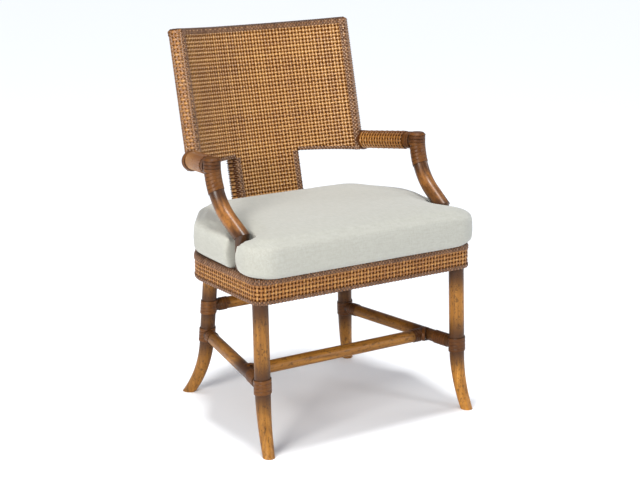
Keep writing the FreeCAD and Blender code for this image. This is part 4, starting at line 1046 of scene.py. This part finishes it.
SIDE_HEIGHT, REAR_HEIGHT, CROSS_SETBACK = 159.5, 231.5, 104.0
BAND_TALL, BAND_WALL, BAND_THICK = 44.0, 2.2, 2.4
BAND_TURNS, BAND_EXTRA, BAND_CLOSE = 4, 0.4, 0.97
BAND_STRIP = BAND_TALL / (BAND_TURNS + BAND_EXTRA)
BAND_PITCH = BAND_STRIP * (BAND_TURNS + BAND_EXTRA - 1) / BAND_TURNS
LEG_CLEAR = LEG_RADIUS + BAND_WALL + STRIP_PITCH
FRONT_TURNS, END_TURNS = 6, 3
bands, strips = new_strands(), new_strands()
for sign in (-1, 1):
    front, rear = leg_axis("front", sign, SIDE_HEIGHT), leg_axis("rear", sign, SIDE_HEIGHT)
    along = (rear - front).normalized()
    inward = Vector((-sign, 0, 0))
    for end, height in (("front", SIDE_HEIGHT), ("rear", SIDE_HEIGHT), ("rear", REAR_HEIGHT)):
        low = leg_axis(end, sign, height - BAND_TALL / 2)
        high = leg_axis(end, sign, height + BAND_TALL / 2)
        start = low + (high - low).normalized() * (BAND_STRIP / 2)
        wind(bands, start, high - low, LEG_RADIUS, BAND_TURNS, BAND_STRIP * BAND_CLOSE, BAND_PITCH,
             BAND_THICK, CROWNED)
    joint = front + along * CROSS_SETBACK
    upper = leg_axis("rear", sign, REAR_HEIGHT)
    for start, way, turns in ((front + along * LEG_CLEAR, along, FRONT_TURNS),
                              (rear - along * LEG_CLEAR, -along, END_TURNS),
                              (joint + inward * (STRETCHER_RADIUS + STRIP_PITCH), inward, END_TURNS),
                              (upper + inward * LEG_CLEAR, inward, END_TURNS)):
        wind(strips, start, way, STRETCHER_RADIUS, turns, STRIP, STRIP_PITCH)
    cross_over(strips, joint, along, inward)
made = finish_mesh("leg_joint_bands", bands, leather, CHAIR)
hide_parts("leg_bands")
made = finish_mesh("stretcher_strips", strips, leather, CHAIR)
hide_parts("stretcher_windings")


# Cushion: the solid's form, remeshed and swollen by cloth under pressure, in metres

VOXEL = 0.0055
PRESSURE, SWELL_FRAMES, SWELL_CAP = 4.0, 20, 0.006
SHOULDER, SHOULDER_TILT, SHOULDER_SPREAD = 0.005, 0.55, 0.4
POST_CLEAR, POST_STILL, POST_FADE = 0.0058, 0.012, 0.035
FOOT_CLEAR, FOOT_STILL, FOOT_FADE = 0.0004, 0.005, 0.011


def post_surface(stems):
    """The surface of those pieces of both arm posts, to measure the room beside them."""
    bm = bmesh.new()
    for stem in stems:
        for side in ("left", "right"):
            bm.from_mesh(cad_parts[stem + side].data)
    surface = BVHTree.FromBMesh(bm)
    bm.free()
    return surface


def evaluated(obj):
    """A mesh of what the object's modifiers give."""
    depsgraph = bpy.context.evaluated_depsgraph_get()
    return bpy.data.meshes.new_from_object(obj.evaluated_get(depsgraph))


def bake(obj):
    """Make what the modifiers give the object's own mesh."""
    mesh = evaluated(obj)
    obj.modifiers.clear()
    obj.data = mesh


def eased_step(share):
    """A share from 0 to 1 with soft ends."""
    share = min(1.0, max(0.0, share))
    return share * share * (3 - 2 * share)


def swell(pad):
    """Blow the pad up as cloth, squarer at its rims, and not at its foot or beside the arm posts."""
    posts = post_surface(["arm_post_", "arm_post_foot_"])
    rest = [(vert.co.copy(), vert.normal.copy()) for vert in pad.data.vertices]
    cloth = pad.modifiers.new("cloth", "CLOTH")
    cloth.settings.use_pressure = True
    cloth.settings.uniform_pressure_force = PRESSURE
    cloth.settings.effector_weights.gravity = 0.0
    cloth.settings.quality = 5
    cloth.collision_settings.use_collision = False
    cloth.collision_settings.use_self_collision = False
    scene = bpy.context.scene
    for number in range(1, SWELL_FRAMES + 1):
        scene.frame_set(number)
    blown = evaluated(pad)
    pad.modifiers.clear()
    scene.frame_set(1)
    foot = SEAT_TOP * MM
    for vert, (start, normal), end in zip(pad.data.vertices, rest, blown.vertices):
        outward = min(max((end.co - start).dot(normal), 0.0), SWELL_CAP)
        beside = eased_step((posts.find_nearest(start)[3] - POST_STILL) / POST_FADE)
        above = eased_step((start.z - foot - FOOT_STILL) / FOOT_FADE)
        shoulder = max(0.0, 1 - abs(abs(normal.z) - SHOULDER_TILT) / SHOULDER_SPREAD) * SHOULDER
        vert.co = start + normal * ((outward + shoulder) * beside * above)
        vert.co.z = max(vert.co.z, foot + FOOT_CLEAR)


def make_cushion():
    """The linen pad on the form of the cushion's solid, kept clear of the arm posts."""
    bm = bmesh.new()
    bm.from_mesh(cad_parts["seat_cushion"].data)
    bmesh.ops.remove_doubles(bm, verts=bm.verts, dist=SEAM)
    mesh = bpy.data.meshes.new("seat_cushion_pad")
    bm.to_mesh(mesh)
    bm.free()
    pad = bpy.data.objects.new("seat_cushion_pad", mesh)
    bpy.context.scene.collection.objects.link(pad)
    bpy.context.view_layer.objects.active = pad
    shape = pad.modifiers.new("shape", "REMESH")
    shape.mode = "VOXEL"
    shape.voxel_size = VOXEL
    bake(pad)
    swell(pad)
    soft = pad.modifiers.new("soft", "SMOOTH")
    soft.factor = 0.5
    soft.iterations = 6
    for polygon in pad.data.polygons:
        polygon.use_smooth = True
    fine = pad.modifiers.new("fine", "SUBSURF")
    fine.levels = 1
    fine.render_levels = 1
    bake(pad)
    posts = post_surface(["arm_post_"])
    for vert in pad.data.vertices:
        nearest, _, _, apart = posts.find_nearest(vert.co)
        if apart < POST_CLEAR:
            vert.co = nearest + (vert.co - nearest).normalized() * POST_CLEAR
    pad.data.materials.clear()
    pad.data.materials.append(linen)
    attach(pad, "cushion")
    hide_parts("seat_cushion")


make_cushion()

# Floor of matt white paper, light and camera

FLOOR_HALF = 12.0
floor_mesh = bpy.data.meshes.new("floor")
bm = bmesh.new()
bmesh.ops.create_grid(bm, x_segments=1, y_segments=1, size=FLOOR_HALF)
bm.to_mesh(floor_mesh)
bm.free()
floor_obj = bpy.data.objects.new("floor", floor_mesh)
bpy.context.scene.collection.objects.link(floor_obj)
paper, paper_tree, paper_shader = new_material("matt_paper_floor")
feed(paper_tree, paper_shader,
     {"Base Color": linear("#F0F2F4"), "Roughness": 0.9, "Specular IOR Level": 0.1})
floor_mesh.materials.append(paper)


def area_light(name, place, target, size, power, colour):
    """A soft box at a place, turned to a target."""
    data = bpy.data.lights.new(name, "AREA")
    data.shape = "RECTANGLE"
    data.size, data.size_y = size
    data.energy = power
    data.color = linear(colour)[:3]
    obj = bpy.data.objects.new(name, data)
    way = Vector(target) - Vector(place)
    obj.matrix_world = Matrix.Translation(place) @ way.to_track_quat("-Z", "Y").to_matrix().to_4x4()
    bpy.context.scene.collection.objects.link(obj)


area_light("key_softbox", (-3.4, -1.9, 2.0), (0, 0, 0.5), (1.8, 1.8), 175.0, "#FFFBF6")
area_light("fill_softbox", (2.4, -3.9, 1.4), (0, 0, 0.6), (0.9, 0.9), 58.0, "#FCFCFF")
area_light("side_softbox", (3.2, -0.7, 1.3), (0, 0, 0.65), (1.0, 1.0), 19.0, "#FCFCFF")
overhead_data = bpy.data.lights.new("overhead_panel", "SUN")
overhead_data.energy = 2.32
overhead_data.angle = 0.16
overhead = bpy.data.objects.new("overhead_panel", overhead_data)
overhead.matrix_world = Matrix.Rotation(radians(-1.0), 4, "Y")
bpy.context.scene.collection.objects.link(overhead)

SKY_LIGHT, SKY_SEEN = 0.42, 1.2
world = bpy.data.worlds.new("studio")
world.use_nodes = True
sky_tree = world.node_tree
camera_ray = add(sky_tree, "LightPath", out="Is Camera Ray")
sky_level = add(sky_tree, "MapRange", [camera_ray, 0.0, 1.0, SKY_LIGHT, SKY_SEEN])
feed(sky_tree, sky_tree.nodes["Background"], [linear("#EDF3FF"), sky_level])
bpy.context.scene.world = world
bpy.context.scene.view_settings.view_transform = "Standard"

AZIMUTH, ELEVATION, ROLL = radians(-31.45), radians(14.72), radians(-0.50)
CAMERA_PLACE = Vector((-1730.15, -2894.74, 1288.10)) * MM
FOCAL_PX, IMAGE_WIDE, SENSOR_WIDE = 1423.23, 640, 36.0
camera_data = bpy.data.cameras.new("camera")
camera_data.sensor_width = SENSOR_WIDE
camera_data.lens = SENSOR_WIDE * FOCAL_PX / IMAGE_WIDE
camera = bpy.data.objects.new("camera", camera_data)
bpy.context.scene.collection.objects.link(camera)
behind = Vector((sin(AZIMUTH) * cos(ELEVATION), -cos(AZIMUTH) * cos(ELEVATION), sin(ELEVATION)))
level_right = (-behind).cross(UP).normalized()
level_up = level_right.cross(-behind)
right = level_right * cos(ROLL) + level_up * sin(ROLL)
above = level_up * cos(ROLL) - level_right * sin(ROLL)
camera.matrix_world = Matrix.Translation(CAMERA_PLACE) @ Matrix((right, above, behind)).transposed().to_4x4()
bpy.context.scene.camera = camera
